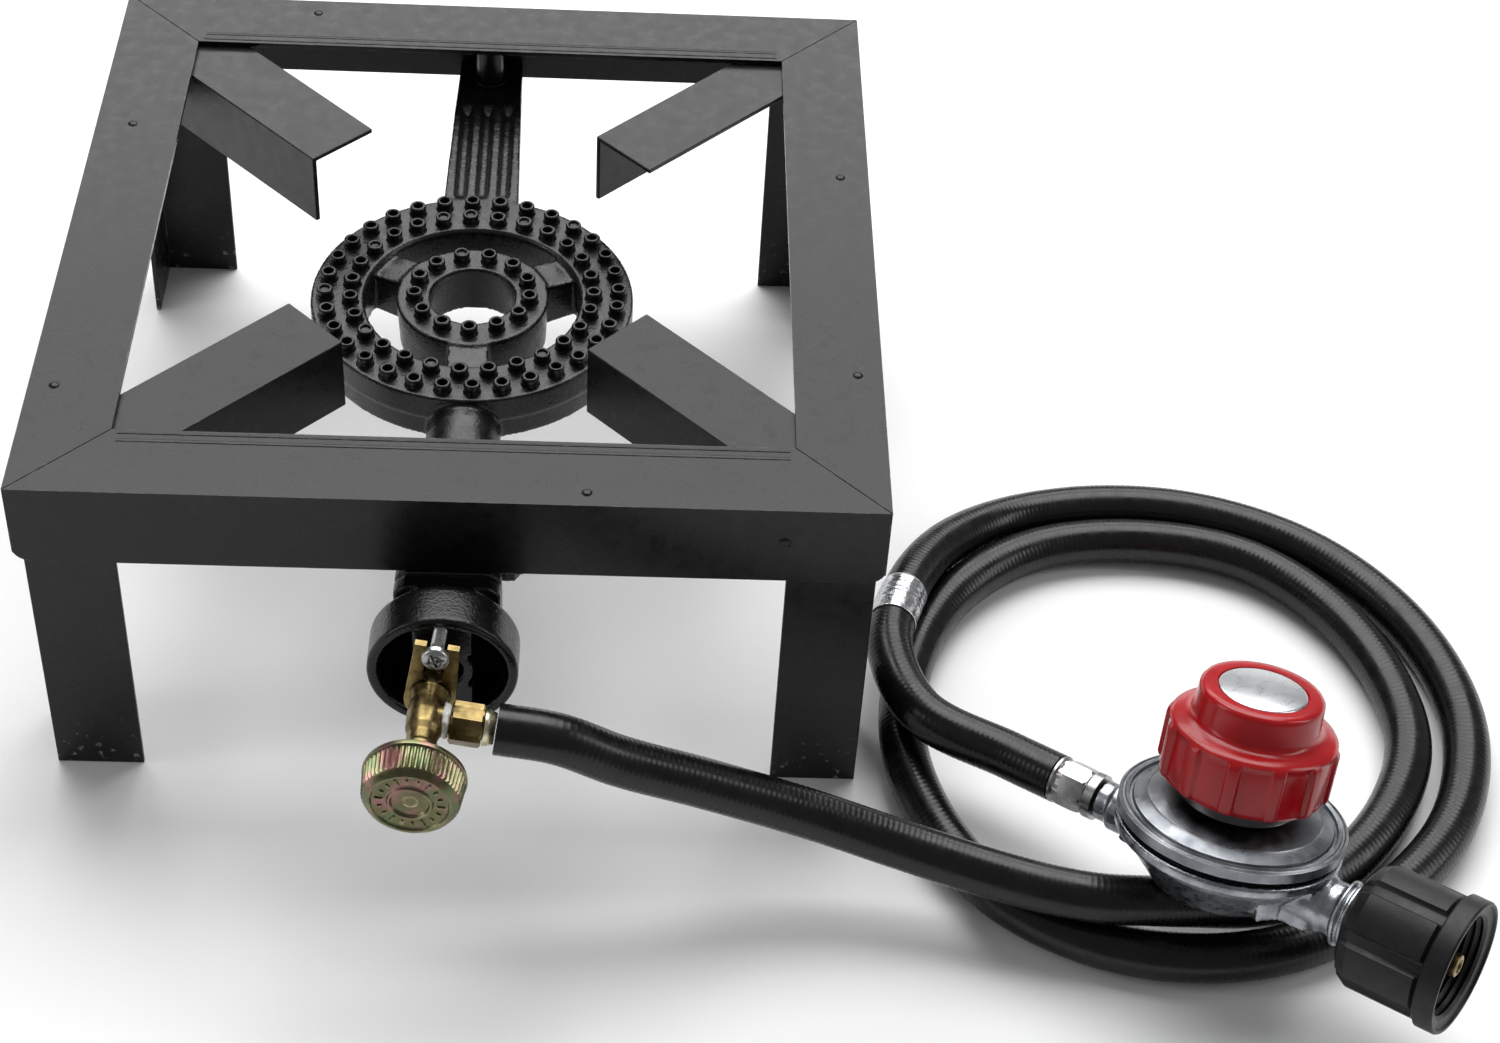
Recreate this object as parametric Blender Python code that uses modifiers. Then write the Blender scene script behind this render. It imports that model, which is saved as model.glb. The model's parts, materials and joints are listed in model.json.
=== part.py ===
"""A propane burner stand: a welded angle-iron frame that carries a cast-iron ring burner,
with its air mixer, needle valve, gas hose, adjustable regulator and tank nut.

Units are metres, +Z is up, the burner's supply tube points along -Y (the front).
The model is built round the frame's centre and then moved so that the origin is the
centre of its footprint, hose and regulator left out.
"""

import math

import bmesh
import bpy
from mathutils import Matrix, Vector

MM = 0.001
GAP = 0.3 * MM  # between pieces that touch
RUNNING_GAP = 0.4 * MM  # round pieces that turn or slide
RING_STEPS = 40  # sides of the burner's rings
ROUND_STEPS = 26  # sides of the other large round pieces
SMALL_STEPS = 16  # sides of the small round pieces

# Frame
STAND_WIDTH = 300 * MM
STAND_HEIGHT = 139 * MM
IRON = 2 * MM  # thickness of every angle iron
RAIL_TOP_LEG = 32 * MM
RAIL_SIDE_LEG = 33 * MM
RAIL_CORNER = 6 * MM  # rounding of the side leg's lower corners
MITRE_GAP = 0.4 * MM
LEG_WIDTH = 31.5 * MM
LEG_INSET = 0.8 * MM  # between a rail's inside and the leg's outside
SUPPORT_WIDTH = 30 * MM
SUPPORT_TIP = 77 * MM  # from the stand's centre to a pot support's free end

# Burner casting
BURNER_X = -1.5 * MM
DECK_Z = STAND_HEIGHT - 32 * MM
RING_HEIGHT = 20 * MM
RING_OUTER = 61.5 * MM
RING_INNER = 41 * MM
LEDGE = 0.8 * MM  # the lower half of the ring's wall is this much smaller
HUB_OUTER = 29 * MM
HUB_HOLE = 16.3 * MM
BRIDGE_WIDTH = 15 * MM
BRIDGE_DROP = 3 * MM
BRIDGE_ANGLES = (-90, 150, 30)
CASTING_WALL = 3.5 * MM
NOZZLE_R = 2.95 * MM
NOZZLE_HEIGHT = 4.8 * MM
NOZZLE_BORE = 1.5 * MM
# rows of nozzles: radius of the row, how many, and the turn of the first one in spacings
NOZZLE_ROWS = ((56 * MM, 32, 0.28), (46.4 * MM, 27, -0.2), (22.1 * MM, 13, 0.0))
TUBE_R = 13 * MM
TUBE_BORE = 9.5 * MM
TUBE_Z = STAND_HEIGHT - RAIL_SIDE_LEG - TUBE_R - 2 * MM  # it passes under the front rail
TUBE_END = STAND_WIDTH / 2 + 0.5 * MM  # the face of the tube's flange, past the front rail
FLANGE_WIDTH = 2 * TUBE_R + 11 * MM
FLANGE_HEIGHT = 2 * TUBE_R + 3 * MM
FLANGE_THICKNESS = 6 * MM
ARM_WIDTH = 30 * MM
ARM_END_WIDTH = 25.5 * MM
ARM_RISE = 8 * MM
ARM_THICKNESS = 8 * MM
FLUTE_WIDTH = 4.2 * MM
FLUTE_DEPTH = 2 * MM
FLUTE_COUNT = 3

# Hangers: the stud, spacer, washer and nut that hold the casting under the front and back rails
HANGER_Y = STAND_WIDTH / 2 - RAIL_TOP_LEG / 2
ARM_END = HANGER_Y + 13 * MM
STUD_R = 3 * MM
SPACER_R = 5.75 * MM
WASHER_R = 7 * MM
WASHER_THICKNESS = 1.2 * MM
M6_NUT_WIDTH = 10 * MM
M6_NUT_HEIGHT = 5 * MM
LUG_THICKNESS = 8 * MM

# Air mixer bell, measured forward from the stand's centre along the tube's axis
BELL_NECK = 6.7 * MM
BELL_LIP = TUBE_END + 34 * MM
BELL_R = 25.8 * MM
BELL_WALL = 3.8 * MM
BELL_LENGTH = 17 * MM
WEB_WIDTH = 20.5 * MM
WEB_THICKNESS = 6 * MM
WEB_MIDDLE = TUBE_END + 29.5 * MM
JET_HOLE = 7 * MM
SCREW_RISE = 19.5 * MM  # the bracket screw above the tube's axis
SCREW_R = 2.4 * MM
SCREW_HEAD_R = 4.75 * MM
SCREW_HEAD_HEIGHT = 3.2 * MM

# Valve, measured forward from the middle of the bell's web
VALVE_LEAN = 7  # degrees that the valve hangs off to the left of the screw
VALVE_YAW = -4
BRACKET_BACK = 12 * MM
BRACKET_THICKNESS = 2.5 * MM
BRACKET_WIDTH = 17.5 * MM
BRACKET_TOP_WIDTH = 15 * MM
BRACKET_ABOVE_SCREW = 3.7 * MM
BRACKET_BELOW_SCREW = 32 * MM
SLOT_WIDTH = 7 * MM
SLOT_BELOW_SCREW = 13.5 * MM
VALVE_BODY_R = 5.75 * MM
VALVE_BODY_END = 46 * MM
VALVE_BORE = 2.8 * MM
VALVE_SPIGOT_R = 4.5 * MM
JET_R = 3.2 * MM
JET_TIP = -5 * MM
BRANCH_AT = 25 * MM
BRANCH_R = 4.6 * MM
BRANCH_END = 16 * MM
BRANCH_BORE = 2 * MM
TAPE_WALL = 0.5 * MM
TAPE_START = 6.1 * MM
TAPE_END = 8 * MM
HOSE_NUT_WIDTH = 13.5 * MM
HOSE_NUT_START = 8.3 * MM
HOSE_NUT_END = 19.3 * MM
BARB_END = 23.5 * MM
PACKING_NUT_WIDTH = 10 * MM
PACKING_NUT_END = 52 * MM
SPINDLE_R = 2.3 * MM
SPINDLE_START = 18 * MM
SPINDLE_END = 62 * MM
KNOB_BACK = 50.2 * MM
KNOB_FACE = 63.7 * MM
KNOB_BACK_R = 17.5 * MM
KNOB_FACE_R = 16 * MM
KNOB_WALL = 1.6 * MM
KNOB_HUB_R = 4.2 * MM

# Hose
HOSE_R = 8.9 * MM
HOSE_SPACING = 27 * MM  # between the points of the hose's tube
CURVE_STEPS = 24  # points of the smooth curve between two points of the route
LABEL_LENGTH = 21 * MM
LABEL_WALL = 0.3 * MM
LABEL_BACK = 118 * MM  # from the hose's far end to the middle of the foil label

# Regulator, in its own frame: +X to the tank nut, +Z up its knob, from the port axis
REGULATOR_PLACE = (270.6 * MM, -213.8 * MM, 40 * MM)
REGULATOR_TURN = (-17.5, -6.8, -37.9)  # degrees about X, Y and Z
BOWL_BOTTOM = -10.5 * MM
BOWL_R = 26 * MM
RIM_R = 40.1 * MM
RIM_TOP = 12 * MM
BODY_CAVITY_R = 31 * MM
BODY_FLOOR = -6 * MM
OUTLET_R = 9 * MM
OUTLET_END = 49 * MM
INLET_R = 10.5 * MM
INLET_END = 46.4 * MM
OUTLET_BORE = 4 * MM
INLET_BORE = 3 * MM
DIAPHRAGM_R = 36.4 * MM
DIAPHRAGM_THICKNESS = 1.2 * MM
BONNET_RIM = 5.2 * MM
BONNET_CONE_TOP = 24 * MM
BONNET_CONE_R = 24 * MM
NECK_R = 20 * MM
NECK_TOP = 44 * MM
NECK_CAVITY_R = 14 * MM
NECK_WALL = 3.2 * MM
ADJUSTER_R = 4 * MM
ADJUSTER_TOP = 58 * MM
SPRING_R = 10 * MM
SPRING_WIRE = 0.9 * MM  # radius
SPRING_BOTTOM = 17.6 * MM
SPRING_TOP = 33 * MM
SPRING_TURNS = 4
SPRING_SIDES = 10  # straight pieces in each turn of the spring
SPRING_PLATE = 2 * MM
PLATE_R = 13 * MM
PLATE_THICKNESS = 2 * MM
CAP_BOTTOM = 31.8 * MM
CAP_STEP = 53 * MM
CAP_TOP = 66.6 * MM
CAP_R = 30.2 * MM
CAP_TOP_R = 21.6 * MM
CAP_WALL = 2.8 * MM
CAP_HUB_R = 7 * MM
DISC_R = 15.4 * MM
DISC_RECESS = 0.8 * MM
FERRULE_R = 8.9 * MM
FERRULE_LENGTH = 18.3 * MM
COLLAR_R = 12 * MM
COLLAR_LENGTH = 4.8 * MM
NIPPLE_R = 8 * MM
NIPPLE_STEP = 65 * MM
NIPPLE_TIP_R = 4.2 * MM
NIPPLE_END = 90 * MM
NIPPLE_BORE = 2 * MM
SEAL_WALL = 1.6 * MM
SEAL_LENGTH = 4 * MM
TANK_NUT_BACK = 52 * MM
TANK_NUT_END = 92.1 * MM
TANK_NUT_R = 22.6 * MM
TANK_COLLAR_R = 24.2 * MM
TANK_COLLAR_LENGTH = 8 * MM
TANK_SOCKET_R = 18.2 * MM
TANK_NUT_WALL = 6 * MM

# The hose's route after it has left the valve, in the stand's own frame, in millimetres
HOSE_ROUTE = (
    (59.4, -206.3, 73.5),
    (87.0, -203.9, 61.0),
    (129.6, -203.4, 43.5),
    (158.3, -207.3, 34.5),
    (193.3, -216.1, 29.0),
    (210.5, -220.9, 28.2),
    (228.0, -223.8, 27.4),
    (246.0, -222.5, 25.0),
    (263.0, -219.5, 21.0),
    (284.0, -213.8, 14.5),
    (311.0, -201.0, 9.6),
    (328.5, -186.0, 9.3),
    (345.5, -163.5, 9.3),
    (357.5, -133.0, 9.3),
    (353.5, -91.0, 9.3),
    (337.5, -58.5, 9.3),
    (310.9, -33.9, 9.3),
    (268.0, -23.5, 9.3),
    (222.0, -31.5, 9.3),
    (190.0, -57.0, 9.3),
    (170.0, -98.0, 9.3),
    (165.5, -135.0, 9.3),
    (176.0, -178.0, 9.3),
    (196.0, -208.5, 9.3),
    (232.0, -230.0, 9.3),
    (268.0, -235.0, 9.3),
    (301.0, -228.5, 9.3),
    (340.0, -203.0, 9.3),
    (369.0, -167.0, 9.3),
    (381.0, -122.0, 9.3),
    (370.0, -70.0, 9.3),
    (336.0, -27.0, 9.3),
    (292.0, -6.5, 9.3),
    (249.0, -4.0, 9.3),
    (212.0, -14.5, 10.5),
    (188.0, -35.0, 16.5),
    (168.0, -72.0, 24.6),
    (160.5, -108.0, 28.8),
    (170.0, -138.0, 29.0),
)


# --- Making meshes ---------------------------------------------------------------------------


def clear_scene():
    for item in list(bpy.data.objects):
        bpy.data.objects.remove(item)


def new_collection(name):
    collection = bpy.data.collections.new(name)
    bpy.context.scene.collection.children.link(collection)
    return collection


def material(name, colour, roughness, metallic):
    made = bpy.data.materials.new(name)
    made.use_nodes = True
    shader = made.node_tree.nodes["Principled BSDF"]
    shader.inputs["Base Color"].default_value = (*colour, 1)
    shader.inputs["Roughness"].default_value = roughness
    shader.inputs["Metallic"].default_value = metallic
    return made


def mesh_object(name, mesh, parent, finish=None):
    """A piece of the model or, with no finish, a cutter or a shape to join."""
    item = bpy.data.objects.new(name, mesh)
    item.parent = parent
    if finish is None:
        cutters.objects.link(item)
        item.hide_render = True
        item.display_type = "WIRE"
    else:
        parts.objects.link(item)
        mesh.materials.append(finish)
        mesh.shade_smooth()
        mesh.set_sharp_from_angle(angle=math.radians(35))
    return item


def empty(name, parent, location=(0, 0, 0), degrees=(0, 0, 0)):
    item = bpy.data.objects.new(name, None)
    item.parent = parent
    item.location = location
    item.rotation_euler = [math.radians(angle) for angle in degrees]
    parts.objects.link(item)
    return item


def box(name, low, high, parent, finish=None):
    work = bmesh.new()
    bmesh.ops.create_cube(work, size=1)
    for vertex in work.verts:
        vertex.co = [
            low[i] + (vertex.co[i] + 0.5) * (high[i] - low[i]) for i in range(3)
        ]
    mesh = bpy.data.meshes.new(name)
    work.to_mesh(mesh)
    work.free()
    return mesh_object(name, mesh, parent, finish)


def add_prism(work, radius, low, high, sides, place=Matrix()):
    """A prism along Z, from low to high, standing at place."""
    middle = Matrix.Translation((0, 0, (low + high) / 2))
    bmesh.ops.create_cone(
        work,
        cap_ends=True,
        segments=sides,
        radius1=radius,
        radius2=radius,
        depth=high - low,
        matrix=place @ middle,
    )


def rod(name, radius, low, high, parent, finish=None, sides=SMALL_STEPS, place=Matrix()):
    work = bmesh.new()
    add_prism(work, radius, low, high, sides, place)
    mesh = bpy.data.meshes.new(name)
    work.to_mesh(mesh)
    work.free()
    return mesh_object(name, mesh, parent, finish)


def turned(name, profile, parent, finish=None, steps=ROUND_STEPS):
    """A turned piece about Z. The profile is (radius, height) down the outer side."""
    mesh = bpy.data.meshes.new(name)
    closed = profile[0][0] > 0
    edges = [(i, i + 1) for i in range(len(profile) - 1)]
    if closed:
        edges.append((len(profile) - 1, 0))
    mesh.from_pydata([(r, 0, z) for r, z in profile], edges, [])
    item = mesh_object(name, mesh, parent, finish)
    screw = item.modifiers.new("turn", "SCREW")
    screw.steps = steps
    screw.render_steps = steps
    screw.use_merge_vertices = True
    screw.merge_threshold = 0.00001
    screw.use_smooth_shade = True
    return item


def outline_mesh(name, outlines, thickness):
    """A flat plate in XY, half its thickness each side of Z = 0. Outlines after the first are holes."""
    curve = bpy.data.curves.new(name, "CURVE")
    curve.dimensions = "2D"
    curve.fill_mode = "BOTH"
    curve.extrude = thickness / 2
    for outline in outlines:
        spline = curve.splines.new("POLY")
        spline.points.add(len(outline) - 1)
        for point, (x, y) in zip(spline.points, outline):
            point.co = (x, y, 0, 1)
        spline.use_cyclic_u = True
    return mesh_from_curve(name, curve)


def mesh_from_curve(name, curve):
    source = bpy.data.objects.new(name + "_outline", curve)
    cutters.objects.link(source)
    graph = bpy.context.evaluated_depsgraph_get()
    mesh = bpy.data.meshes.new_from_object(source.evaluated_get(graph))
    bpy.data.objects.remove(source)
    work = bmesh.new()
    work.from_mesh(mesh)
    bmesh.ops.remove_doubles(work, verts=work.verts, dist=0.000001)
    bmesh.ops.recalc_face_normals(work, faces=work.faces)
    work.to_mesh(mesh)
    work.free()
    mesh.name = name
    return mesh


def plate(name, outlines, low, high, parent, finish=None):
    """A flat plate in XY from low to high in Z."""
    mesh = outline_mesh(name, outlines, high - low)
    mesh.transform(Matrix.Translation((0, 0, (low + high) / 2)))
    return mesh_object(name, mesh, parent, finish)


def circle(radius, sides, x=0.0, y=0.0, start=0.0):
    turns = [start + 2 * math.pi * i / sides for i in range(sides)]
    return [(x + radius * math.cos(t), y + radius * math.sin(t)) for t in turns]


def hexagon(across_flats, start=0.0):
    return circle(across_flats / math.sqrt(3), 6, start=start)


def boolean(item, other, operation):
    step = item.modifiers.new(other.name, "BOOLEAN")
    step.operation = operation
    step.object = other


def cut(item, *others):
    for other in others:
        boolean(item, other, "DIFFERENCE")


def join(item, *others):
    for other in others:
        boolean(item, other, "UNION")


def along(direction, place=(0, 0, 0)):
    """Turns Z to the direction and moves to the place."""
    turn = Vector((0, 0, 1)).rotation_difference(Vector(direction)).to_matrix()
    return Matrix.Translation(place) @ turn.to_4x4()


# --- Stand -----------------------------------------------------------------------------------

ALONG_X = Matrix(((0, 0, 1, 0), (1, 0, 0, 0), (0, 1, 0, 0), (0, 0, 0, 1)))
CORNERS = ("front_left", "front_right", "back_right", "back_left")
SIDES = ("front", "right", "back", "left")
LEG_OUTSIDE = STAND_WIDTH / 2 - IRON - LEG_INSET
LEG_TOP = STAND_HEIGHT - IRON - GAP


def angle_iron(name, width, height, length, parent, finish=None):
    """Angle iron along X, centred. Its corner is at y = z = 0, its legs reach to +y and -z."""
    section = [
        (0, 0),
        (0, -height),
        (IRON, -height),
        (IRON, -IRON),
        (width, -IRON),
        (width, 0),
    ]
    mesh = outline_mesh(name, [section], length)
    mesh.transform(ALONG_X)
    return mesh_object(name, mesh, parent, finish)


def add_rail(side, turn):
    """A top rail, mitred at both ends, with its side leg's lower corners rounded."""
    half = STAND_WIDTH / 2
    frame = empty("rail_frame_" + side, stand, (0, 0, 0), (0, 0, turn))
    spare = 1 * MM
    rail = angle_iron(
        "rail_" + side,
        RAIL_TOP_LEG,
        RAIL_SIDE_LEG + spare,
        STAND_WIDTH + 2 * spare,
        frame,
        paint,
    )
    rail.location = (0, -half, STAND_HEIGHT)
    low = STAND_HEIGHT - RAIL_SIDE_LEG
    quarter = [math.radians(90 * i / 5) for i in range(6)]
    left = [
        (
            -half + RAIL_CORNER * (1 - math.cos(t)),
            low + RAIL_CORNER * (1 - math.sin(t)),
        )
        for t in quarter
    ]
    right = [(-x, y) for x, y in reversed(left)]
    top = STAND_HEIGHT + spare
    outline = left + right + [(half, top), (-half, top)]
    mesh = outline_mesh("rail_shape", [outline], 4 * half)
    mesh.transform(Matrix.Rotation(math.radians(90), 4, "X"))
    shape = mesh_object("rail_shape_" + side, mesh, frame)
    boolean(rail, shape, "INTERSECT")
    for end, degrees in (("a", 45), ("b", 135)):
        wedge = box(
            "mitre_" + side + end,
            (-MITRE_GAP / 2, -2 * half, -10 * MM),
            (2 * half, 2 * half, STAND_HEIGHT + 10 * MM),
            frame,
        )
        wedge.data.transform(Matrix.Rotation(math.radians(degrees), 4, "Z"))
        cut(rail, wedge)


def add_corner(corner, turn, flange_side):
    """A leg, and the pot support that runs from it towards the stand's centre."""
    frame = empty("corner_" + corner, stand, (0, 0, 0), (0, 0, turn))
    near = -LEG_OUTSIDE
    section = [
        (near, near),
        (near + LEG_WIDTH, near),
        (near + LEG_WIDTH, near + IRON),
        (near + IRON, near + IRON),
        (near + IRON, near + LEG_WIDTH),
        (near, near + LEG_WIDTH),
    ]
    plate("leg_" + corner, [section], 0, LEG_TOP, frame, paint)
    diagonal = empty("diagonal_" + corner, frame, (0, 0, 0), (0, 0, 45))
    inside = LEG_OUTSIDE - IRON - GAP
    outer_end = inside * math.sqrt(2) - SUPPORT_WIDTH / 2
    support = angle_iron(
        "pot_support_" + corner,
        SUPPORT_WIDTH,
        SUPPORT_WIDTH,
        outer_end - SUPPORT_TIP,
        diagonal,
        paint,
    )
    middle = -(outer_end + SUPPORT_TIP) / 2
    support.location = (middle, flange_side * SUPPORT_WIDTH / 2, LEG_TOP)
    if flange_side > 0:
        support.rotation_euler = (0, 0, math.radians(180))


def add_stand():
    for number, side in enumerate(SIDES):
        add_rail(side, 90 * number)
    for number, corner in enumerate(CORNERS):
        flange_side = 1 if corner == "front_right" else -1
        add_corner(corner, 90 * number, flange_side)


# --- Burner ----------------------------------------------------------------------------------

DECK_UNDERSIDE = DECK_Z - CASTING_WALL
RING_BOTTOM = DECK_Z - RING_HEIGHT
CHAMBER_FLOOR = RING_BOTTOM + CASTING_WALL
REAR_LUG_TOP = DECK_Z - 1 * MM + ARM_RISE
FRONT_LUG_TOP = TUBE_Z + TUBE_R + 0.5 * MM
FRONT_LUG_X = TUBE_R + M6_NUT_WIDTH / math.sqrt(3) + 0.8 * MM
LUG_HOLE = STUD_R + GAP


def add_nozzles(name, radius, low, high, sides):
    work = bmesh.new()
    for row_radius, count, first in NOZZLE_ROWS:
        for number in range(count):
            turn = math.radians(-90) + 2 * math.pi * (number + first) / count
            x = row_radius * math.cos(turn)
            y = row_radius * math.sin(turn)
            add_prism(work, radius, low, high, sides, Matrix.Translation((x, y, 0)))
    mesh = bpy.data.meshes.new(name)
    work.to_mesh(mesh)
    work.free()
    return mesh_object(name, mesh, burner)


def ring_shape(name, outer, inner, low, high):
    profile = [(outer, high), (outer, low), (inner, low), (inner, high)]
    return turned(name, profile, burner, steps=RING_STEPS)


def rear_arm():
    """The arm's side view, drawn along Y, given its width along X and then tapered."""
    root = RING_OUTER - 8 * MM
    level = HANGER_Y - 12 * MM
    low = DECK_Z - 1 * MM
    side_view = [
        (root, low),
        (level, REAR_LUG_TOP),
        (ARM_END, REAR_LUG_TOP),
        (ARM_END, REAR_LUG_TOP - ARM_THICKNESS),
        (level, REAR_LUG_TOP - ARM_THICKNESS),
        (root, low - ARM_THICKNESS),
    ]
    mesh = outline_mesh("arm", [side_view], ARM_WIDTH)
    mesh.transform(ALONG_X)
    for vertex in mesh.vertices:
        share = (vertex.co.y - root) / (ARM_END - root)
        vertex.co.x *= 1 + share * (ARM_END_WIDTH / ARM_WIDTH - 1)
    arm = mesh_object("arm", mesh, burner)
    flutes = []
    slope = math.atan2(REAR_LUG_TOP - low, level - root)
    for number in range(FLUTE_COUNT):
        across = (number - (FLUTE_COUNT - 1) / 2) * 2 * FLUTE_WIDTH
        flute = box(
            f"flute_{number}",
            (across - FLUTE_WIDTH / 2, 8 * MM, -FLUTE_DEPTH),
            (across + FLUTE_WIDTH / 2, level - root - 4 * MM, 10 * MM),
            burner,
        )
        flute.location = (0, root, low)
        flute.rotation_euler = (slope, 0, 0)
        flutes.append(flute)
    return arm, flutes


def add_burner():
    profile = [
        (RING_OUTER, DECK_Z),
        (RING_OUTER, DECK_Z - RING_HEIGHT / 2),
        (RING_OUTER - LEDGE, DECK_Z - RING_HEIGHT / 2),
        (RING_OUTER - LEDGE, RING_BOTTOM),
        (RING_INNER, RING_BOTTOM),
        (RING_INNER, DECK_Z),
    ]
    casting = turned("burner_casting", profile, burner, iron, steps=RING_STEPS)
    join(casting, ring_shape("hub", HUB_OUTER, HUB_HOLE, RING_BOTTOM, DECK_Z))
    channels = []
    for number, degrees in enumerate(BRIDGE_ANGLES):
        turn = Matrix.Rotation(math.radians(degrees), 4, "Z")
        bridge = box(
            f"bridge_{number}",
            (HUB_OUTER - 4 * MM, -BRIDGE_WIDTH / 2, RING_BOTTOM + 1 * MM),
            (RING_INNER + 2 * MM, BRIDGE_WIDTH / 2, DECK_Z - BRIDGE_DROP),
            burner,
        )
        half = BRIDGE_WIDTH / 2 - CASTING_WALL
        channel = box(
            f"bridge_channel_{number}",
            (HUB_OUTER - 5 * MM, -half, CHAMBER_FLOOR + 1 * MM),
            (RING_INNER + 5 * MM, half, DECK_Z - BRIDGE_DROP - CASTING_WALL),
            burner,
        )
        bridge.data.transform(turn)
        channel.data.transform(turn)
        join(casting, bridge)
        channels.append(channel)
    forward = along((0, -1, 0), (0, 0, TUBE_Z))
    tube_start = RING_OUTER - 15 * MM
    join(casting, rod("tube", TUBE_R, tube_start, TUBE_END, burner, place=forward))
    flange = box(
        "tube_flange",
        (-FLANGE_WIDTH / 2, -TUBE_END, TUBE_Z - FLANGE_HEIGHT / 2),
        (
            FLANGE_WIDTH / 2,
            -TUBE_END + FLANGE_THICKNESS,
            TUBE_Z + FLANGE_HEIGHT / 2,
        ),
        burner,
    )
    ear = box(
        "front_ear",
        (0, -HANGER_Y - 7 * MM, FRONT_LUG_TOP - LUG_THICKNESS),
        (FRONT_LUG_X + 7 * MM, -HANGER_Y + 7 * MM, FRONT_LUG_TOP),
        burner,
    )
    arm, flutes = rear_arm()
    join(casting, flange, ear, arm)
    nozzle_top = DECK_Z + NOZZLE_HEIGHT
    join(casting, add_nozzles("nozzles", NOZZLE_R, DECK_Z - 1 * MM, nozzle_top, 6))
    cut(casting, *flutes)
    wall = CASTING_WALL
    floor = CHAMBER_FLOOR
    roof = DECK_UNDERSIDE
    rear_place = Matrix.Translation((0, HANGER_Y, REAR_LUG_TOP))
    front_place = Matrix.Translation((FRONT_LUG_X, -HANGER_Y, FRONT_LUG_TOP))
    reach = 2 * LUG_THICKNESS
    cut(
        casting,
        ring_shape("ring_channel", RING_OUTER - wall, RING_INNER + wall, floor, roof),
        ring_shape("hub_channel", HUB_OUTER - wall, HUB_HOLE + wall, floor, roof),
        *channels,
        rod("tube_bore", TUBE_BORE, tube_start + wall, TUBE_END + wall, burner, place=forward),
        add_nozzles("nozzle_bores", NOZZLE_BORE, roof - 1 * MM, nozzle_top + 2 * MM, 4),
        rod("rear_lug_hole", LUG_HOLE, -reach, reach, burner, place=rear_place),
        rod("front_ear_hole", LUG_HOLE, -reach, reach, burner, place=front_place),
    )


def add_hanger(name, x, y, lug_top, lug_thickness):
    """From the top down: the stud welded under the rail, its spacer, the washer on the lug, the nut."""
    frame = empty(name + "_hanger", burner, (x, y, 0))
    rail_underside = STAND_HEIGHT - IRON - GAP
    washer_low = lug_top + GAP
    washer_high = washer_low + WASHER_THICKNESS
    nut_high = lug_top - lug_thickness - GAP
    nut_low = nut_high - M6_NUT_HEIGHT
    clear = STUD_R + GAP
    rod(name + "_stud", STUD_R, nut_low - 2 * MM, rail_underside, frame, paint)
    rings = (
        ("_spacer", SPACER_R, washer_high + GAP, rail_underside),
        ("_washer", WASHER_R, washer_low, washer_high),
    )
    for ending, radius, low, high in rings:
        profile = [(radius, high), (radius, low), (clear, low), (clear, high)]
        turned(name + ending, profile, frame, paint, steps=SMALL_STEPS)
    outlines = [hexagon(M6_NUT_WIDTH), circle(clear, SMALL_STEPS)]
    plate(name + "_nut", outlines, nut_low, nut_high, frame, paint)


# --- Air mixer and valve ---------------------------------------------------------------------


def add_bell(axis):
    """Turned about the tube's axis, with the local Z pointing forward."""
    neck_back = TUBE_END + GAP
    neck_front = neck_back + BELL_NECK
    mouth = BELL_R - BELL_WALL
    back = BELL_LIP - BELL_LENGTH
    spigot = TUBE_BORE - GAP
    throat = spigot - 2 * MM
    profile = [
        (BELL_R, BELL_LIP),
        (BELL_R, back),
        (FLANGE_HEIGHT / 2, neck_front - 2 * MM),
        (spigot, neck_front - 2 * MM),
        (spigot, TUBE_END - 10 * MM),
        (throat, TUBE_END - 10 * MM),
        (throat, neck_front),
        (mouth, back + BELL_WALL),
        (mouth, BELL_LIP),
    ]
    bell = turned("air_mixer_bell", profile, axis, iron, steps=ROUND_STEPS)
    half_width = FLANGE_WIDTH / 2
    half_height = FLANGE_HEIGHT / 2
    square = [
        (-half_width, -half_height),
        (half_width, -half_height),
        (half_width, half_height),
        (-half_width, half_height),
    ]
    neck = [square, circle(throat + 1 * MM, ROUND_STEPS)]
    half = WEB_WIDTH / 2
    tall = math.sqrt((BELL_R - 1 * MM) ** 2 - half**2)
    web_back = WEB_MIDDLE - WEB_THICKNESS / 2
    web_front = WEB_MIDDLE + WEB_THICKNESS / 2
    join(
        bell,
        plate("neck_flange", neck, neck_back, neck_front, axis),
        box("web", (-half, -tall, web_back), (half, tall, web_front), axis),
    )
    beyond = 5 * MM
    screw_place = Matrix.Translation((0, SCREW_RISE, 0))
    low = web_back - beyond
    high = web_front + beyond
    cut(
        bell,
        rod("jet_hole", JET_HOLE, low, high, axis, sides=ROUND_STEPS),
        rod("screw_hole", SCREW_R + 2 * GAP, low, high, axis, sides=12, place=screw_place),
    )


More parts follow.
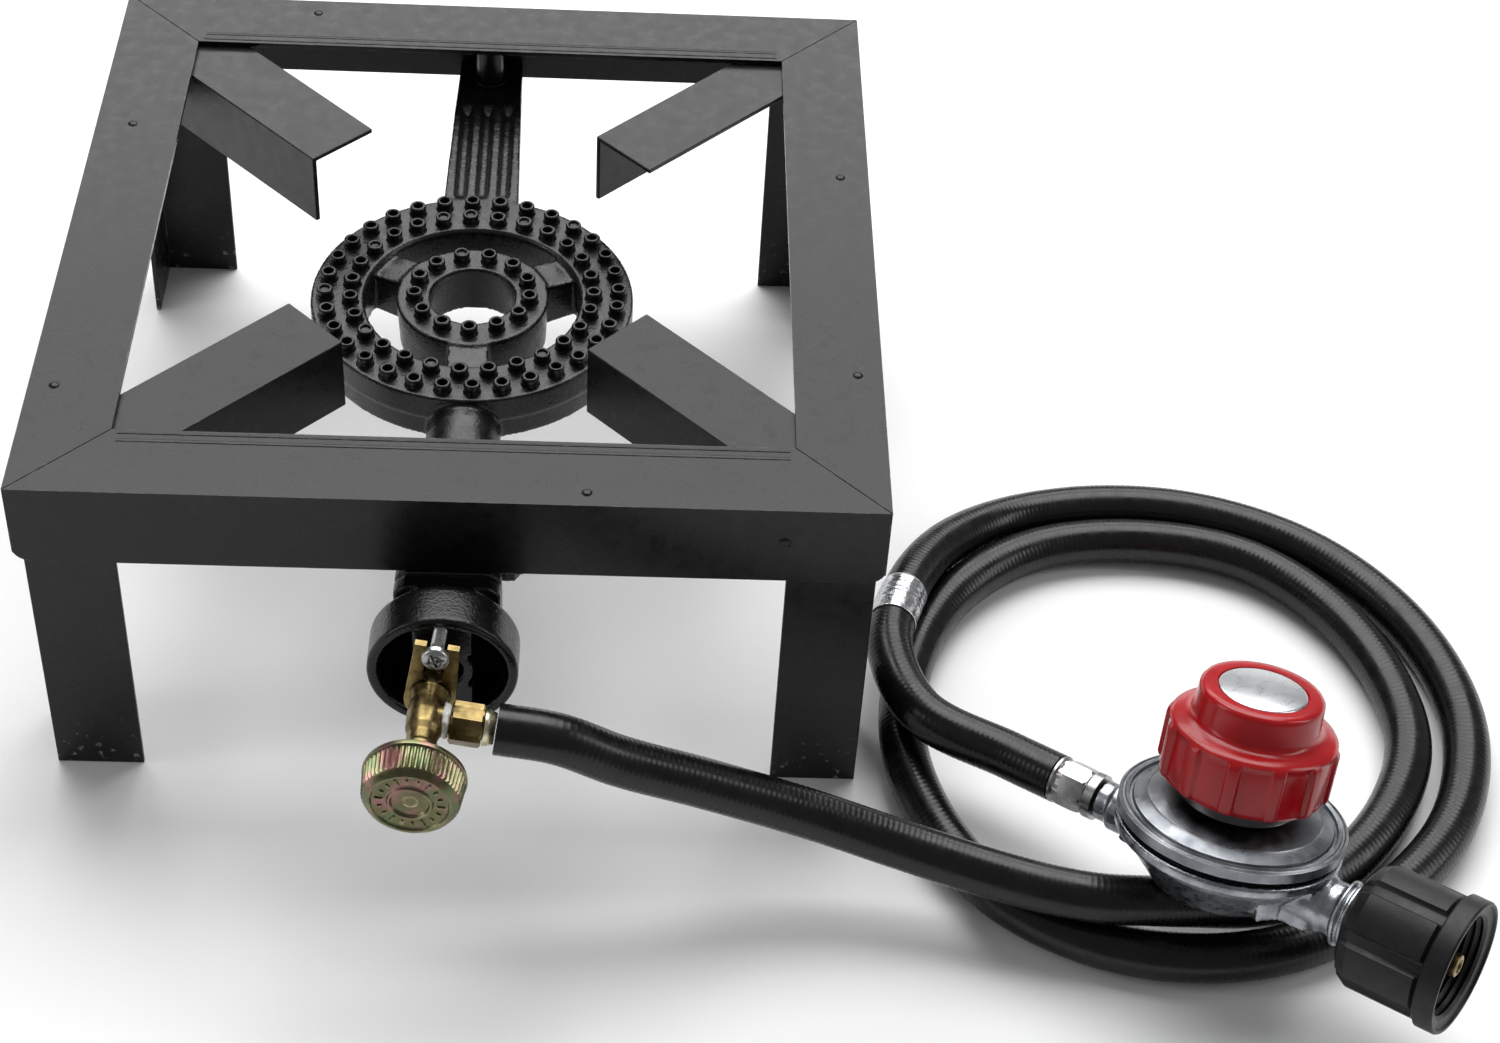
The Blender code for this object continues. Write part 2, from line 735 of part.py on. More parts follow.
def add_bracket(pivot):
    """The slotted bracket and its screw, with the local Z pointing forward from the web's middle."""
    front = BRACKET_BACK + BRACKET_THICKNESS
    seat = front + GAP
    head = seat + SCREW_HEAD_HEIGHT
    screw = [
        (0, head),
        (SCREW_HEAD_R * 0.6, head),
        (SCREW_HEAD_R, head - 1.4 * MM),
        (SCREW_HEAD_R, seat),
        (SCREW_R, seat),
        (SCREW_R, -8 * MM),
        (0, -8 * MM),
    ]
    turned("bracket_screw", screw, pivot, steel, steps=SMALL_STEPS)
    half = BRACKET_WIDTH / 2
    foot = -BRACKET_BELOW_SCREW + half
    bottom = [(half * math.cos(t), foot + half * math.sin(t)) for t in half_turn(8)]
    slot_half = SLOT_WIDTH / 2
    slot_foot = -SLOT_BELOW_SCREW + slot_half
    slot = [
        (slot_half * math.cos(t), slot_foot + slot_half * math.sin(t))
        for t in reversed(half_turn(6))
    ]
    top = BRACKET_ABOVE_SCREW
    right_prong = [(BRACKET_TOP_WIDTH / 2, top), (slot_half, top)]
    left_prong = [(-slot_half, top), (-BRACKET_TOP_WIDTH / 2, top)]
    outline = bottom + right_prong + slot + left_prong
    hole = circle(VALVE_SPIGOT_R + GAP, SMALL_STEPS, 0, -SCREW_RISE)
    plate("valve_bracket", [outline, hole], BRACKET_BACK, front, pivot, brass)


def half_turn(steps):
    """Angles from the left, through the bottom, to the right."""
    return [math.radians(180 + 180 * i / steps) for i in range(steps + 1)]


def add_valve(axis, branch):
    """The body, jet, packing nut, spindle and knob, with the local Z pointing forward."""
    seat = BRACKET_BACK + BRACKET_THICKNESS + GAP
    spigot_back = BRACKET_BACK - 4 * MM
    profile = [
        (0, VALVE_BODY_END),
        (VALVE_BODY_R, VALVE_BODY_END),
        (VALVE_BODY_R, seat),
        (VALVE_SPIGOT_R, seat),
        (VALVE_SPIGOT_R, spigot_back),
        (0, spigot_back),
    ]
    body = turned("valve_body", profile, axis, brass)
    join(body, rod("branch", BRANCH_R, 0, BRANCH_END, branch))
    bore_back = spigot_back - 1 * MM
    bore_front = VALVE_BODY_END + 1 * MM
    cut(
        body,
        rod("valve_bore", VALVE_BORE, bore_back, bore_front, axis, sides=ROUND_STEPS),
        rod("branch_bore", BRANCH_BORE, 0, BRANCH_END + 1 * MM, branch),
    )
    jet_front = spigot_back - GAP
    jet = [
        (JET_R, jet_front),
        (JET_R, JET_TIP + 3 * MM),
        (2.2 * MM, JET_TIP),
        (0.9 * MM, JET_TIP),
        (0.9 * MM, JET_TIP + 8 * MM),
        (2.4 * MM, jet_front),
    ]
    turned("valve_jet", jet, axis, brass, steps=SMALL_STEPS)
    nut_back = VALVE_BODY_END + GAP
    nut = [hexagon(PACKING_NUT_WIDTH), circle(SPINDLE_R + RUNNING_GAP, SMALL_STEPS)]
    plate("packing_nut", nut, nut_back, PACKING_NUT_END, axis, brass)
    spindle = [
        (0, SPINDLE_END),
        (SPINDLE_R, SPINDLE_END),
        (SPINDLE_R, SPINDLE_START),
        (0.7 * MM, SPINDLE_START - 6 * MM),
        (0, SPINDLE_START - 6 * MM),
    ]
    turned("valve_needle", spindle, axis, steel, steps=SMALL_STEPS)
    hub_back = PACKING_NUT_END + 1.5 * MM
    hub_hole = SPINDLE_R + GAP
    knob = [
        (0, KNOB_FACE),
        (KNOB_FACE_R - 1 * MM, KNOB_FACE),
        (KNOB_FACE_R, KNOB_FACE - 1 * MM),
        (KNOB_BACK_R, KNOB_BACK),
        (KNOB_BACK_R - KNOB_WALL, KNOB_BACK),
        (KNOB_FACE_R - KNOB_WALL, KNOB_FACE - KNOB_WALL),
        (KNOB_HUB_R, KNOB_FACE - KNOB_WALL),
        (KNOB_HUB_R, hub_back),
        (hub_hole, hub_back),
        (hub_hole, SPINDLE_END + GAP),
        (0, SPINDLE_END + GAP),
    ]
    turned("valve_knob", knob, axis, chromate, steps=ROUND_STEPS)


def add_hose_end(branch):
    """The tape, nut and barb on the valve's branch, with the local Z pointing along the hose."""
    tape_hole = BRANCH_R + GAP
    tape = [
        (tape_hole + TAPE_WALL, TAPE_END),
        (tape_hole + TAPE_WALL, TAPE_START),
        (tape_hole, TAPE_START),
        (tape_hole, TAPE_END),
    ]
    turned("thread_tape", tape, branch, white, steps=SMALL_STEPS)
    nut = [hexagon(HOSE_NUT_WIDTH), circle(tape_hole, SMALL_STEPS)]
    plate("hose_nut", nut, HOSE_NUT_START, HOSE_NUT_END, branch, brass)
    shoulder = HOSE_NUT_END + GAP
    barb = [
        (5.2 * MM, BARB_END),
        (6.5 * MM, shoulder),
        (BRANCH_R - GAP, shoulder),
        (BRANCH_R - GAP, BRANCH_END + GAP),
        (BRANCH_BORE, BRANCH_END + GAP),
        (BRANCH_BORE, BARB_END),
    ]
    turned("hose_barb", barb, branch, steel, steps=SMALL_STEPS)


# --- Hose ------------------------------------------------------------------------------------


def smooth_line(points):
    """Points read from a smooth curve through the given ones."""
    count = len(points)
    slopes = []
    for i in range(count):
        before = points[max(i - 1, 0)]
        after = points[min(i + 1, count - 1)]
        back = (points[i] - before).length or 1
        ahead = (after - points[i]).length or 1
        slope = (after - points[i]) / ahead * back + (points[i] - before) / back * ahead
        slopes.append(slope / (back + ahead))
    line = []
    for i in range(count - 1):
        length = (points[i + 1] - points[i]).length
        for step in range(CURVE_STEPS):
            t = step / CURVE_STEPS
            start = points[i] * (2 * t**3 - 3 * t**2 + 1)
            leave = slopes[i] * length * (t**3 - 2 * t**2 + t)
            end = points[i + 1] * (3 * t**2 - 2 * t**3)
            arrive = slopes[i + 1] * length * (t**3 - t**2)
            line.append(start + leave + end + arrive)
    line.append(points[-1])
    return line


def spaced(line, spacing):
    """The same line with its points evenly spaced."""
    total = sum((b - a).length for a, b in zip(line, line[1:]))
    pieces = max(1, round(total / spacing))
    step = total / pieces
    result = [line[0]]
    travelled = 0.0
    for a, b in zip(line, line[1:]):
        length = (b - a).length
        while len(result) < pieces and travelled + length >= step * len(result):
            share = (step * len(result) - travelled) / length
            result.append(a.lerp(b, share))
        travelled += length
    result.append(line[-1])
    return result


def tube_curve(name, points, radius, capped):
    curve = bpy.data.curves.new(name, "CURVE")
    curve.dimensions = "3D"
    curve.bevel_depth = radius
    curve.bevel_resolution = 2
    curve.use_fill_caps = capped
    spline = curve.splines.new("POLY")
    spline.points.add(len(points) - 1)
    for point, place in zip(spline.points, points):
        point.co = (*place, 1)
    return curve


def add_hose(branch, regulator):
    """The hose's tube, and the foil label round it."""
    bpy.context.view_layer.update()
    straight = 2.2 * HOSE_R
    start = branch.matrix_world @ Vector((0, 0, BARB_END + GAP))
    leave = branch.matrix_world @ Vector((0, 0, BARB_END + GAP + straight))
    far = -(OUTLET_END + GAP + FERRULE_LENGTH + GAP)
    end = regulator.matrix_world @ Vector((far, 0, 0))
    arrive = regulator.matrix_world @ Vector((far - straight, 0, 0))
    route = [Vector(point) * MM for point in HOSE_ROUTE]
    line = smooth_line([start, leave, *route, arrive, end])
    free = line[CURVE_STEPS:-CURVE_STEPS]
    points = [start, *spaced(free, HOSE_SPACING), end]
    hose = bpy.data.objects.new("hose", tube_curve("hose", points, HOSE_R, True))
    hose.data.materials.append(rubber)
    hose.parent = stand
    parts.objects.link(hose)
    middle = label_middle(points)
    around = points[middle - 1 : middle + 2]
    band = [
        around[1].lerp(around[0], LABEL_LENGTH / 2 / (around[1] - around[0]).length),
        around[1],
        around[1].lerp(around[2], LABEL_LENGTH / 2 / (around[1] - around[2]).length),
    ]
    curve = tube_curve("label", band, HOSE_R + GAP, False)
    label = mesh_object("hose_label", mesh_from_curve("label", curve), stand, foil)
    wall = label.modifiers.new("wall", "SOLIDIFY")
    wall.thickness = LABEL_WALL
    wall.offset = 1


def label_middle(points):
    """The hose point that lies nearest to the label's middle."""
    travelled = 0.0
    for number in range(len(points) - 1, 0, -1):
        travelled += (points[number] - points[number - 1]).length
        if travelled >= LABEL_BACK:
            return number - 1
    return 1


# --- Regulator -------------------------------------------------------------------------------


def add_port(name, radius, start, end, direction, parent):
    return rod(name, radius, start, end, parent, place=along(direction))


def add_regulator(frame, port):
    """The zinc casing, its diaphragm, spring and screw, and the red knob."""
    body_profile = [
        (0, RIM_TOP),
        (RIM_R, RIM_TOP),
        (RIM_R, RIM_TOP - 4.5 * MM),
        (RIM_R - 2 * MM, RIM_TOP - 6 * MM),
        (BOWL_R, BOWL_BOTTOM + 4 * MM),
        (BOWL_R - 5 * MM, BOWL_BOTTOM),
        (0, BOWL_BOTTOM),
    ]
    body = turned("regulator_body", body_profile, frame, zinc, steps=ROUND_STEPS)
    cavity_profile = [
        (0, RIM_TOP + 1 * MM),
        (BODY_CAVITY_R, RIM_TOP + 1 * MM),
        (BODY_CAVITY_R, RIM_TOP - 4 * MM),
        (BODY_CAVITY_R - 11 * MM, BODY_FLOOR),
        (0, BODY_FLOOR),
    ]
    join(
        body,
        add_port("inlet", INLET_R, 18 * MM, INLET_END, (1, 0, 0), frame),
        add_port("outlet", OUTLET_R, 18 * MM, OUTLET_END, (-1, 0, 0), frame),
    )
    bore_start = 12 * MM
    cut(
        body,
        turned("cavity", cavity_profile, frame, steps=ROUND_STEPS),
        add_port("inlet_bore", INLET_BORE, bore_start, INLET_END + 1 * MM, (1, 0, 0), frame),
        add_port("outlet_bore", OUTLET_BORE, bore_start, OUTLET_END + 1 * MM, (-1, 0, 0), frame),
    )
    low = RIM_TOP + GAP
    high = low + DIAPHRAGM_THICKNESS
    rod("regulator_diaphragm", DIAPHRAGM_R, low, high, frame, rubber, sides=ROUND_STEPS)
    plate_low = high + GAP
    plate_high = plate_low + PLATE_THICKNESS
    rod("diaphragm_plate", PLATE_R, plate_low, plate_high, frame, steel, sides=ROUND_STEPS)
    bonnet_low = high + GAP
    bonnet_rim = bonnet_low + BONNET_RIM
    neck_hole = ADJUSTER_R + RUNNING_GAP
    bonnet = [
        (neck_hole, NECK_TOP),
        (NECK_R, NECK_TOP),
        (NECK_R, BONNET_CONE_TOP + 1 * MM),
        (BONNET_CONE_R, BONNET_CONE_TOP),
        (DIAPHRAGM_R, bonnet_rim),
        (RIM_R, bonnet_rim),
        (RIM_R, bonnet_low),
        (BODY_CAVITY_R, bonnet_low),
        (BODY_CAVITY_R, bonnet_low + 2.5 * MM),
        (NECK_CAVITY_R, BONNET_CONE_TOP - 3 * MM),
        (NECK_CAVITY_R, NECK_TOP - NECK_WALL),
        (neck_hole, NECK_TOP - NECK_WALL),
    ]
    turned("regulator_bonnet", bonnet, frame, zinc, steps=ROUND_STEPS)
    add_spring(frame)
    low = SPRING_TOP + SPRING_WIRE + GAP
    high = low + SPRING_PLATE
    rod("spring_plate", PLATE_R, low, high, frame, steel, sides=ROUND_STEPS)
    rod("adjusting_screw", ADJUSTER_R, high + GAP, ADJUSTER_TOP, frame, steel)
    hub_hole = ADJUSTER_R + GAP
    disc_low = CAP_TOP - DISC_RECESS
    cap = [
        (0, disc_low),
        (DISC_R + GAP, disc_low),
        (DISC_R + GAP, CAP_TOP),
        (CAP_TOP_R, CAP_TOP),
        (CAP_TOP_R, CAP_STEP),
        (CAP_R, CAP_STEP),
        (CAP_R, CAP_BOTTOM),
        (CAP_R - CAP_WALL, CAP_BOTTOM),
        (CAP_R - CAP_WALL, CAP_STEP - CAP_WALL),
        (CAP_HUB_R, CAP_STEP - CAP_WALL),
        (CAP_HUB_R, CAP_STEP - CAP_WALL - 0.5 * MM),
        (hub_hole, CAP_STEP - CAP_WALL - 0.5 * MM),
        (hub_hole, ADJUSTER_TOP + GAP),
        (0, ADJUSTER_TOP + GAP),
    ]
    turned("regulator_knob", cap, frame, red, steps=ROUND_STEPS)
    disc_top = CAP_TOP + 0.2 * MM
    rod("knob_label_disc", DISC_R, disc_low + GAP, disc_top, frame, foil, sides=ROUND_STEPS)
    ferrule_start = OUTLET_END + GAP
    ferrule = [
        (FERRULE_R, ferrule_start + FERRULE_LENGTH),
        (FERRULE_R, ferrule_start),
        (OUTLET_BORE, ferrule_start),
        (OUTLET_BORE, ferrule_start + FERRULE_LENGTH),
    ]
    outlet = empty("outlet_axis", frame, (0, 0, 0), (0, -90, 0))
    turned("crimp_ferrule", ferrule, outlet, steel, steps=SMALL_STEPS)
    add_tank_end(port)


def add_spring(frame):
    """A coil spring of round wire, its ends left plain."""
    steps = SPRING_TURNS * SPRING_SIDES
    height = SPRING_TOP - SPRING_BOTTOM - 2 * SPRING_WIRE
    points = []
    for step in range(steps + 1):
        turn = 2 * math.pi * step / SPRING_SIDES
        rise = SPRING_BOTTOM + SPRING_WIRE + height * step / steps
        points.append(Vector((SPRING_R * math.cos(turn), SPRING_R * math.sin(turn), rise)))
    curve = tube_curve("regulator_spring", points, SPRING_WIRE, True)
    curve.bevel_resolution = 1
    spring = bpy.data.objects.new("regulator_spring", curve)
    curve.materials.append(steel)
    spring.parent = frame
    parts.objects.link(spring)


def add_tank_end(port):
    """The nipple, its seal and the hand nut, with the local Z pointing towards the tank."""
    nipple_start = INLET_END + GAP
    collar_end = nipple_start + COLLAR_LENGTH
    nipple = [
        (NIPPLE_TIP_R - 1 * MM, NIPPLE_END),
        (NIPPLE_TIP_R, NIPPLE_END - 1.5 * MM),
        (NIPPLE_TIP_R, NIPPLE_STEP + 3 * MM),
        (NIPPLE_R, NIPPLE_STEP),
        (NIPPLE_R, collar_end),
        (COLLAR_R, collar_end),
        (COLLAR_R, nipple_start),
        (NIPPLE_BORE, nipple_start),
        (NIPPLE_BORE, NIPPLE_END),
    ]
    turned("tank_nipple", nipple, port, brass)
    seal_low = NIPPLE_END - 12 * MM
    seal_hole = NIPPLE_TIP_R + GAP
    seal = [
        (seal_hole + SEAL_WALL, seal_low + SEAL_LENGTH),
        (seal_hole + SEAL_WALL, seal_low),
        (seal_hole, seal_low),
        (seal_hole, seal_low + SEAL_LENGTH),
    ]
    turned("nipple_seal", seal, port, rubber, steps=SMALL_STEPS)
    back = TANK_NUT_BACK + GAP
    hole = NIPPLE_R + RUNNING_GAP
    nut = [
        (TANK_COLLAR_R, TANK_NUT_END),
        (TANK_COLLAR_R, TANK_NUT_END - TANK_COLLAR_LENGTH),
        (TANK_NUT_R, TANK_NUT_END - TANK_COLLAR_LENGTH),
        (TANK_NUT_R, back + 2 * MM),
        (TANK_NUT_R - 2 * MM, back),
        (hole, back),
        (hole, back + TANK_NUT_WALL),
        (TANK_SOCKET_R, back + TANK_NUT_WALL),
        (TANK_SOCKET_R, TANK_NUT_END),
    ]
    turned("tank_nut", nut, port, plastic, steps=ROUND_STEPS)


# --- Putting it together ---------------------------------------------------------------------

ON_THE_HOSE = (
    "hose",
    "hose_label",
    "crimp_ferrule",
    "regulator_",
    "diaphragm_plate",
    "spring_plate",
    "adjusting_screw",
    "knob_label_disc",
    "tank_",
    "nipple_seal",
)


def centre_on_footprint():
    """Moves the model so that the origin is under the middle of everything but the hose's own pieces."""
    bpy.context.view_layer.update()
    graph = bpy.context.evaluated_depsgraph_get()
    corners = []
    for item in parts.objects:
        loose = item.name.startswith(ON_THE_HOSE) and item.name not in ("hose_nut", "hose_barb")
        if item.type == "MESH" and not loose:
            solid = item.evaluated_get(graph)
            corners += [solid.matrix_world @ vertex.co for vertex in solid.data.vertices]
    for i in (0, 1):
        values = [corner[i] for corner in corners]
        stand.location[i] = -(min(values) + max(values)) / 2
    stand.location[2] = -min(corner[2] for corner in corners)


clear_scene()
parts = new_collection("propane_burner_stand")
cutters = new_collection("cutters")
paint = material("black_paint", (0.02, 0.02, 0.022), 0.45, 0)
iron = material("black_cast_iron", (0.012, 0.012, 0.013), 0.4, 0)
steel = material("zinc_plated_steel", (0.55, 0.54, 0.52), 0.35, 1)
brass = material("brass", (0.62, 0.46, 0.2), 0.35, 1)
chromate = material("yellow_chromate", (0.6, 0.5, 0.3), 0.35, 1)
white = material("thread_tape", (0.85, 0.85, 0.85), 0.6, 0)
rubber = material("black_rubber", (0.012, 0.012, 0.012), 0.45, 0)
foil = material("silver_foil", (0.8, 0.8, 0.8), 0.25, 1)
zinc = material("die_cast_zinc", (0.5, 0.51, 0.53), 0.35, 1)
red = material("red_plastic", (0.5, 0.01, 0.01), 0.3, 0)
plastic = material("black_plastic", (0.01, 0.01, 0.01), 0.5, 0)

stand = empty("stand", None)
add_stand()
burner = empty("burner", stand, (BURNER_X, 0, 0))
add_burner()
add_hanger("rear", 0, HANGER_Y, REAR_LUG_TOP, ARM_THICKNESS)
add_hanger("front", FRONT_LUG_X, -HANGER_Y, FRONT_LUG_TOP, LUG_THICKNESS)
add_bell(empty("tube_axis", burner, (0, 0, TUBE_Z), (90, 0, 0)))
pivot_place = (0, -WEB_MIDDLE, TUBE_Z + SCREW_RISE)
valve_pivot = empty("valve_pivot", burner, pivot_place, (0, VALVE_LEAN, VALVE_YAW))
add_bracket(empty("screw_axis", valve_pivot, (0, 0, 0), (90, 0, 0)))
valve_axis = empty("valve_axis", valve_pivot, (0, 0, -SCREW_RISE), (90, 0, 0))
branch_axis = empty("branch_axis", valve_axis, (0, 0, BRANCH_AT), (0, 90, 0))
add_valve(valve_axis, branch_axis)
add_hose_end(branch_axis)
regulator_frame = empty("regulator_frame", stand, REGULATOR_PLACE, REGULATOR_TURN)
port_axis = empty("port_axis", regulator_frame, (0, 0, 0), (0, 90, 0))
add_regulator(regulator_frame, port_axis)
add_hose(branch_axis, regulator_frame)
centre_on_footprint()
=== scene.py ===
"""Looks for the propane burner stand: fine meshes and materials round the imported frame."""
import json
import math
import random

import bmesh
import bpy
from mathutils import Matrix, Vector


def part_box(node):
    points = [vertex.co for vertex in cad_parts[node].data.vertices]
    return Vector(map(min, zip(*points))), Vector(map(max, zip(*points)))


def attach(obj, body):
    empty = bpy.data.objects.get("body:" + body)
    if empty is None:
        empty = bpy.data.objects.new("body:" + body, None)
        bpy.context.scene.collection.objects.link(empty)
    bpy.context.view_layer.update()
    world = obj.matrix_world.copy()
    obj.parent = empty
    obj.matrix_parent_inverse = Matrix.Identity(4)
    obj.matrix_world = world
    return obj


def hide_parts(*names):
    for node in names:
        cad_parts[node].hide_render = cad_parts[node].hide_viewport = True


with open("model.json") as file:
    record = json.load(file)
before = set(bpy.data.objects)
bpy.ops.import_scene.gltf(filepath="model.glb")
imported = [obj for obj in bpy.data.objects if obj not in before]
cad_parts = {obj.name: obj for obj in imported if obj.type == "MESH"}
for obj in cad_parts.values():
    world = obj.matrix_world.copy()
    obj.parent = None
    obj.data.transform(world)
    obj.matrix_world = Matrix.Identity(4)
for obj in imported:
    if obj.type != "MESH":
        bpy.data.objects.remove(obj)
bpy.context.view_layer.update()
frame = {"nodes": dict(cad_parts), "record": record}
MM = 0.001
NODES = frame["nodes"]
RECORD = frame["record"]
ONE_TURN = 2 * math.pi


# --- Places, worked out from the frame --------------------------------------------------------


def middle(node):
    low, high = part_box(node)
    return (Vector(low) + Vector(high)) / 2


def joint(name):
    found = [item for item in RECORD["behaviour"]["joints"] if item["name"] == name]
    return found[0]


def axes_frame(place, forward, right):
    """A matrix whose Z runs along forward and whose X leans towards right."""
    z = Vector(forward).normalized()
    y = z.cross(Vector(right)).normalized()
    x = y.cross(z)
    turn = Matrix((x, y, z)).transposed().to_4x4()
    return Matrix.Translation(place) @ turn


STAND_MIDDLE = (middle("rail_left") + middle("rail_right")) / 2
STAND_BACK = STAND_MIDDLE.y
BURNER_X = -1.5 * MM
TUBE_Z = 91 * MM
valve_turn = joint("valve_turn")
cap_turn = joint("regulator_turn")
nut_turn = joint("tank_nut_spin")
FORWARD = Vector(valve_turn["axis"])
LEAN = math.radians(7)
branch_way = Vector((-FORWARD.y * math.cos(LEAN), FORWARD.x * math.cos(LEAN), -math.sin(LEAN)))
VALVE = axes_frame(valve_turn["pos_m"], FORWARD, branch_way)
REGULATOR = axes_frame(cap_turn["pos_m"], -Vector(cap_turn["axis"]), nut_turn["axis"])
PORT = REGULATOR @ Matrix.Rotation(math.radians(90), 4, "Y")
OUTLET = REGULATOR @ Matrix.Rotation(math.radians(-90), 4, "Y")
BRANCH = VALVE @ Matrix.Translation((0, 0, 25 * MM)) @ Matrix.Rotation(math.radians(90), 4, "Y")
SCREW = VALVE @ Matrix.Translation((0, 19.5 * MM, 0))
BURNER = Matrix.Translation((BURNER_X, STAND_BACK, 0))
TUBE = axes_frame((BURNER_X, STAND_BACK, TUBE_Z), (0, -1, 0), (1, 0, 0))


# --- Making meshes ---------------------------------------------------------------------------


def piece(name, mesh, finish, body, *nodes):
    """A visible piece that rides on a body and stands for these CAD nodes."""
    item = bpy.data.objects.new(name, mesh)
    bpy.context.scene.collection.objects.link(item)
    mesh.materials.clear()
    mesh.materials.append(finish)
    if body:
        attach(item, body)
    if nodes:
        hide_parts(*nodes)
    return item


def to_mesh(name, work, sharp=35):
    bmesh.ops.recalc_face_normals(work, faces=work.faces)
    mesh = bpy.data.meshes.new(name)
    work.to_mesh(mesh)
    work.free()
    mesh.shade_smooth()
    mesh.set_sharp_from_angle(angle=math.radians(sharp))
    return mesh


def add_turned(work, profile, place, steps=64, reach=None):
    """A turned skin about Z. reach(angle, number) scales the radius of each profile point."""
    rings = []
    for number, (radius, height) in enumerate(profile):
        if radius < 1e-7:
            rings.append([work.verts.new(place @ Vector((0, 0, height)))])
            continue
        ring = []
        for step in range(steps):
            angle = ONE_TURN * step / steps
            r = radius * (reach(angle, number) if reach else 1)
            ring.append(work.verts.new(place @ Vector((r * math.cos(angle), r * math.sin(angle), height))))
        rings.append(ring)
    closed = profile[0][0] > 1e-7
    pairs = list(zip(rings, rings[1:]))
    if closed:
        pairs.append((rings[-1], rings[0]))
    for upper, lower in pairs:
        for step in range(steps):
            after = (step + 1) % steps
            if len(upper) == 1:
                work.faces.new((upper[0], lower[step], lower[after]))
            elif len(lower) == 1:
                work.faces.new((upper[step], lower[0], upper[after]))
            else:
                work.faces.new((upper[step], lower[step], lower[after], upper[after]))


def turned(name, profile, place, steps=64, reach=None, sharp=35):
    work = bmesh.new()
    add_turned(work, profile, place, steps, reach)
    return to_mesh(name, work, sharp)


def rounded(profile, radius, arc=3):
    """The same turned profile with its corners off the axis rounded."""
    result = []
    count = len(profile)
    closed = profile[0][0] > 1e-7
    for i, point in enumerate(profile):
        corner = Vector(point)
        ends = not closed and i in (0, count - 1)
        if ends or point[0] < 1e-7:
            result.append(point)
            continue
        before = Vector(profile[i - 1]) - corner
        after = Vector(profile[(i + 1) % count]) - corner
        cut = min(radius, before.length * 0.45, after.length * 0.45)
        start = corner + before.normalized() * cut
        end = corner + after.normalized() * cut
        for step in range(arc + 1):
            t = step / arc
            spot = start * (1 - t) ** 2 + corner * 2 * t * (1 - t) + end * t**2
            result.append((spot.x, spot.y))
    return result


def add_box(work, low, high, place=Matrix()):
    made = bmesh.ops.create_cube(work, size=1)["verts"]
    for vertex in made:
        corner = [low[i] + (vertex.co[i] + 0.5) * (high[i] - low[i]) for i in range(3)]
        vertex.co = place @ Vector(corner)
    return made


def cleaned(node):
    """A copy of a CAD node's mesh with its flat faces whole again."""
    work = bmesh.new()
    work.from_mesh(NODES[node].data)
    bmesh.ops.remove_doubles(work, verts=work.verts, dist=1e-6)
    bmesh.ops.dissolve_limit(
        work, angle_limit=math.radians(0.5), verts=work.verts, edges=work.edges
    )
    return work


def softened(name, node, finish, body, width, segments=3):
    """A CAD node's shape with its edges worn round."""
    item = piece(name, to_mesh(name, cleaned(node)), finish, body, node)
    bevel = item.modifiers.new("worn edges", "BEVEL")
    bevel.width = width
    bevel.segments = segments
    bevel.limit_method = "ANGLE"
    bevel.angle_limit = math.radians(30)
    bevel.harden_normals = True
    return item


def applied(item):
    """The object's mesh with its modifiers worked in."""
    graph = bpy.context.evaluated_depsgraph_get()
    mesh = bpy.data.meshes.new_from_object(item.evaluated_get(graph))
    bpy.data.objects.remove(item)
    return mesh


def cast(name, work, grain, smooth=2):
    """One skin round all the shapes in work, with the soft inner corners of a casting."""
    rough = to_mesh(name, work)
    item = bpy.data.objects.new(name, rough)
    bpy.context.scene.collection.objects.link(item)
    remesh = item.modifiers.new("one skin", "REMESH")
    remesh.mode = "VOXEL"
    remesh.voxel_size = grain
    soften = item.modifiers.new("soft corners", "SMOOTH")
    soften.iterations = smooth
    soften.factor = 0.5
    mesh = applied(item)
    mesh.shade_smooth()
    return mesh


# --- Finishes --------------------------------------------------------------------------------


def colour(value):
    """An sRGB hex value as the linear colour that a socket takes."""
    parts = [int(value[i : i + 2], 16) / 255 for i in (1, 3, 5)]
    linear = [c / 12.92 if c <= 0.04045 else ((c + 0.055) / 1.055) ** 2.4 for c in parts]
    return (*linear, 1.0)


def add(material, kind, inputs, **settings):
    """Adds a node. An input is a value, or the socket that is linked into it."""
    node = material.node_tree.nodes.new(kind)
    for name, value in settings.items():
        setattr(node, name, value)
    for key, value in inputs.items():
        if isinstance(value, bpy.types.NodeSocket):
            material.node_tree.links.new(value, node.inputs[key])
        else:
            node.inputs[key].default_value = value
    return node


def share(material, value, low, high, start=0.0, end=1.0):
    """Where value is low the result is start, where it is high the result is end."""
    inputs = {"Value": value, "From Min": low, "From Max": high, "To Min": start, "To Max": end}
    return add(material, "ShaderNodeMapRange", inputs).outputs["Result"]


def mixed(material, factor, first, second, blend="MIX"):
    inputs = {0: factor, 6: first, 7: second}
    node = add(material, "ShaderNodeMix", inputs, data_type="RGBA", blend_type=blend)
    return node.outputs[2]


def times(material, first, second):
    node = add(material, "ShaderNodeMath", {0: first, 1: second}, operation="MULTIPLY")
    return node.outputs[0]


def blotches(material, size, detail=4, seed=0.0):
    """Soft patches about size metres across."""
    spot = add(material, "ShaderNodeTexCoord", {}).outputs["Object"]
    moved = add(material, "ShaderNodeVectorMath", {0: spot, 1: (seed, seed, seed)}).outputs[0]
    inputs = {"Vector": moved, "Scale": 1 / size, "Detail": detail}
    return add(material, "ShaderNodeTexNoise", inputs).outputs["Fac"]


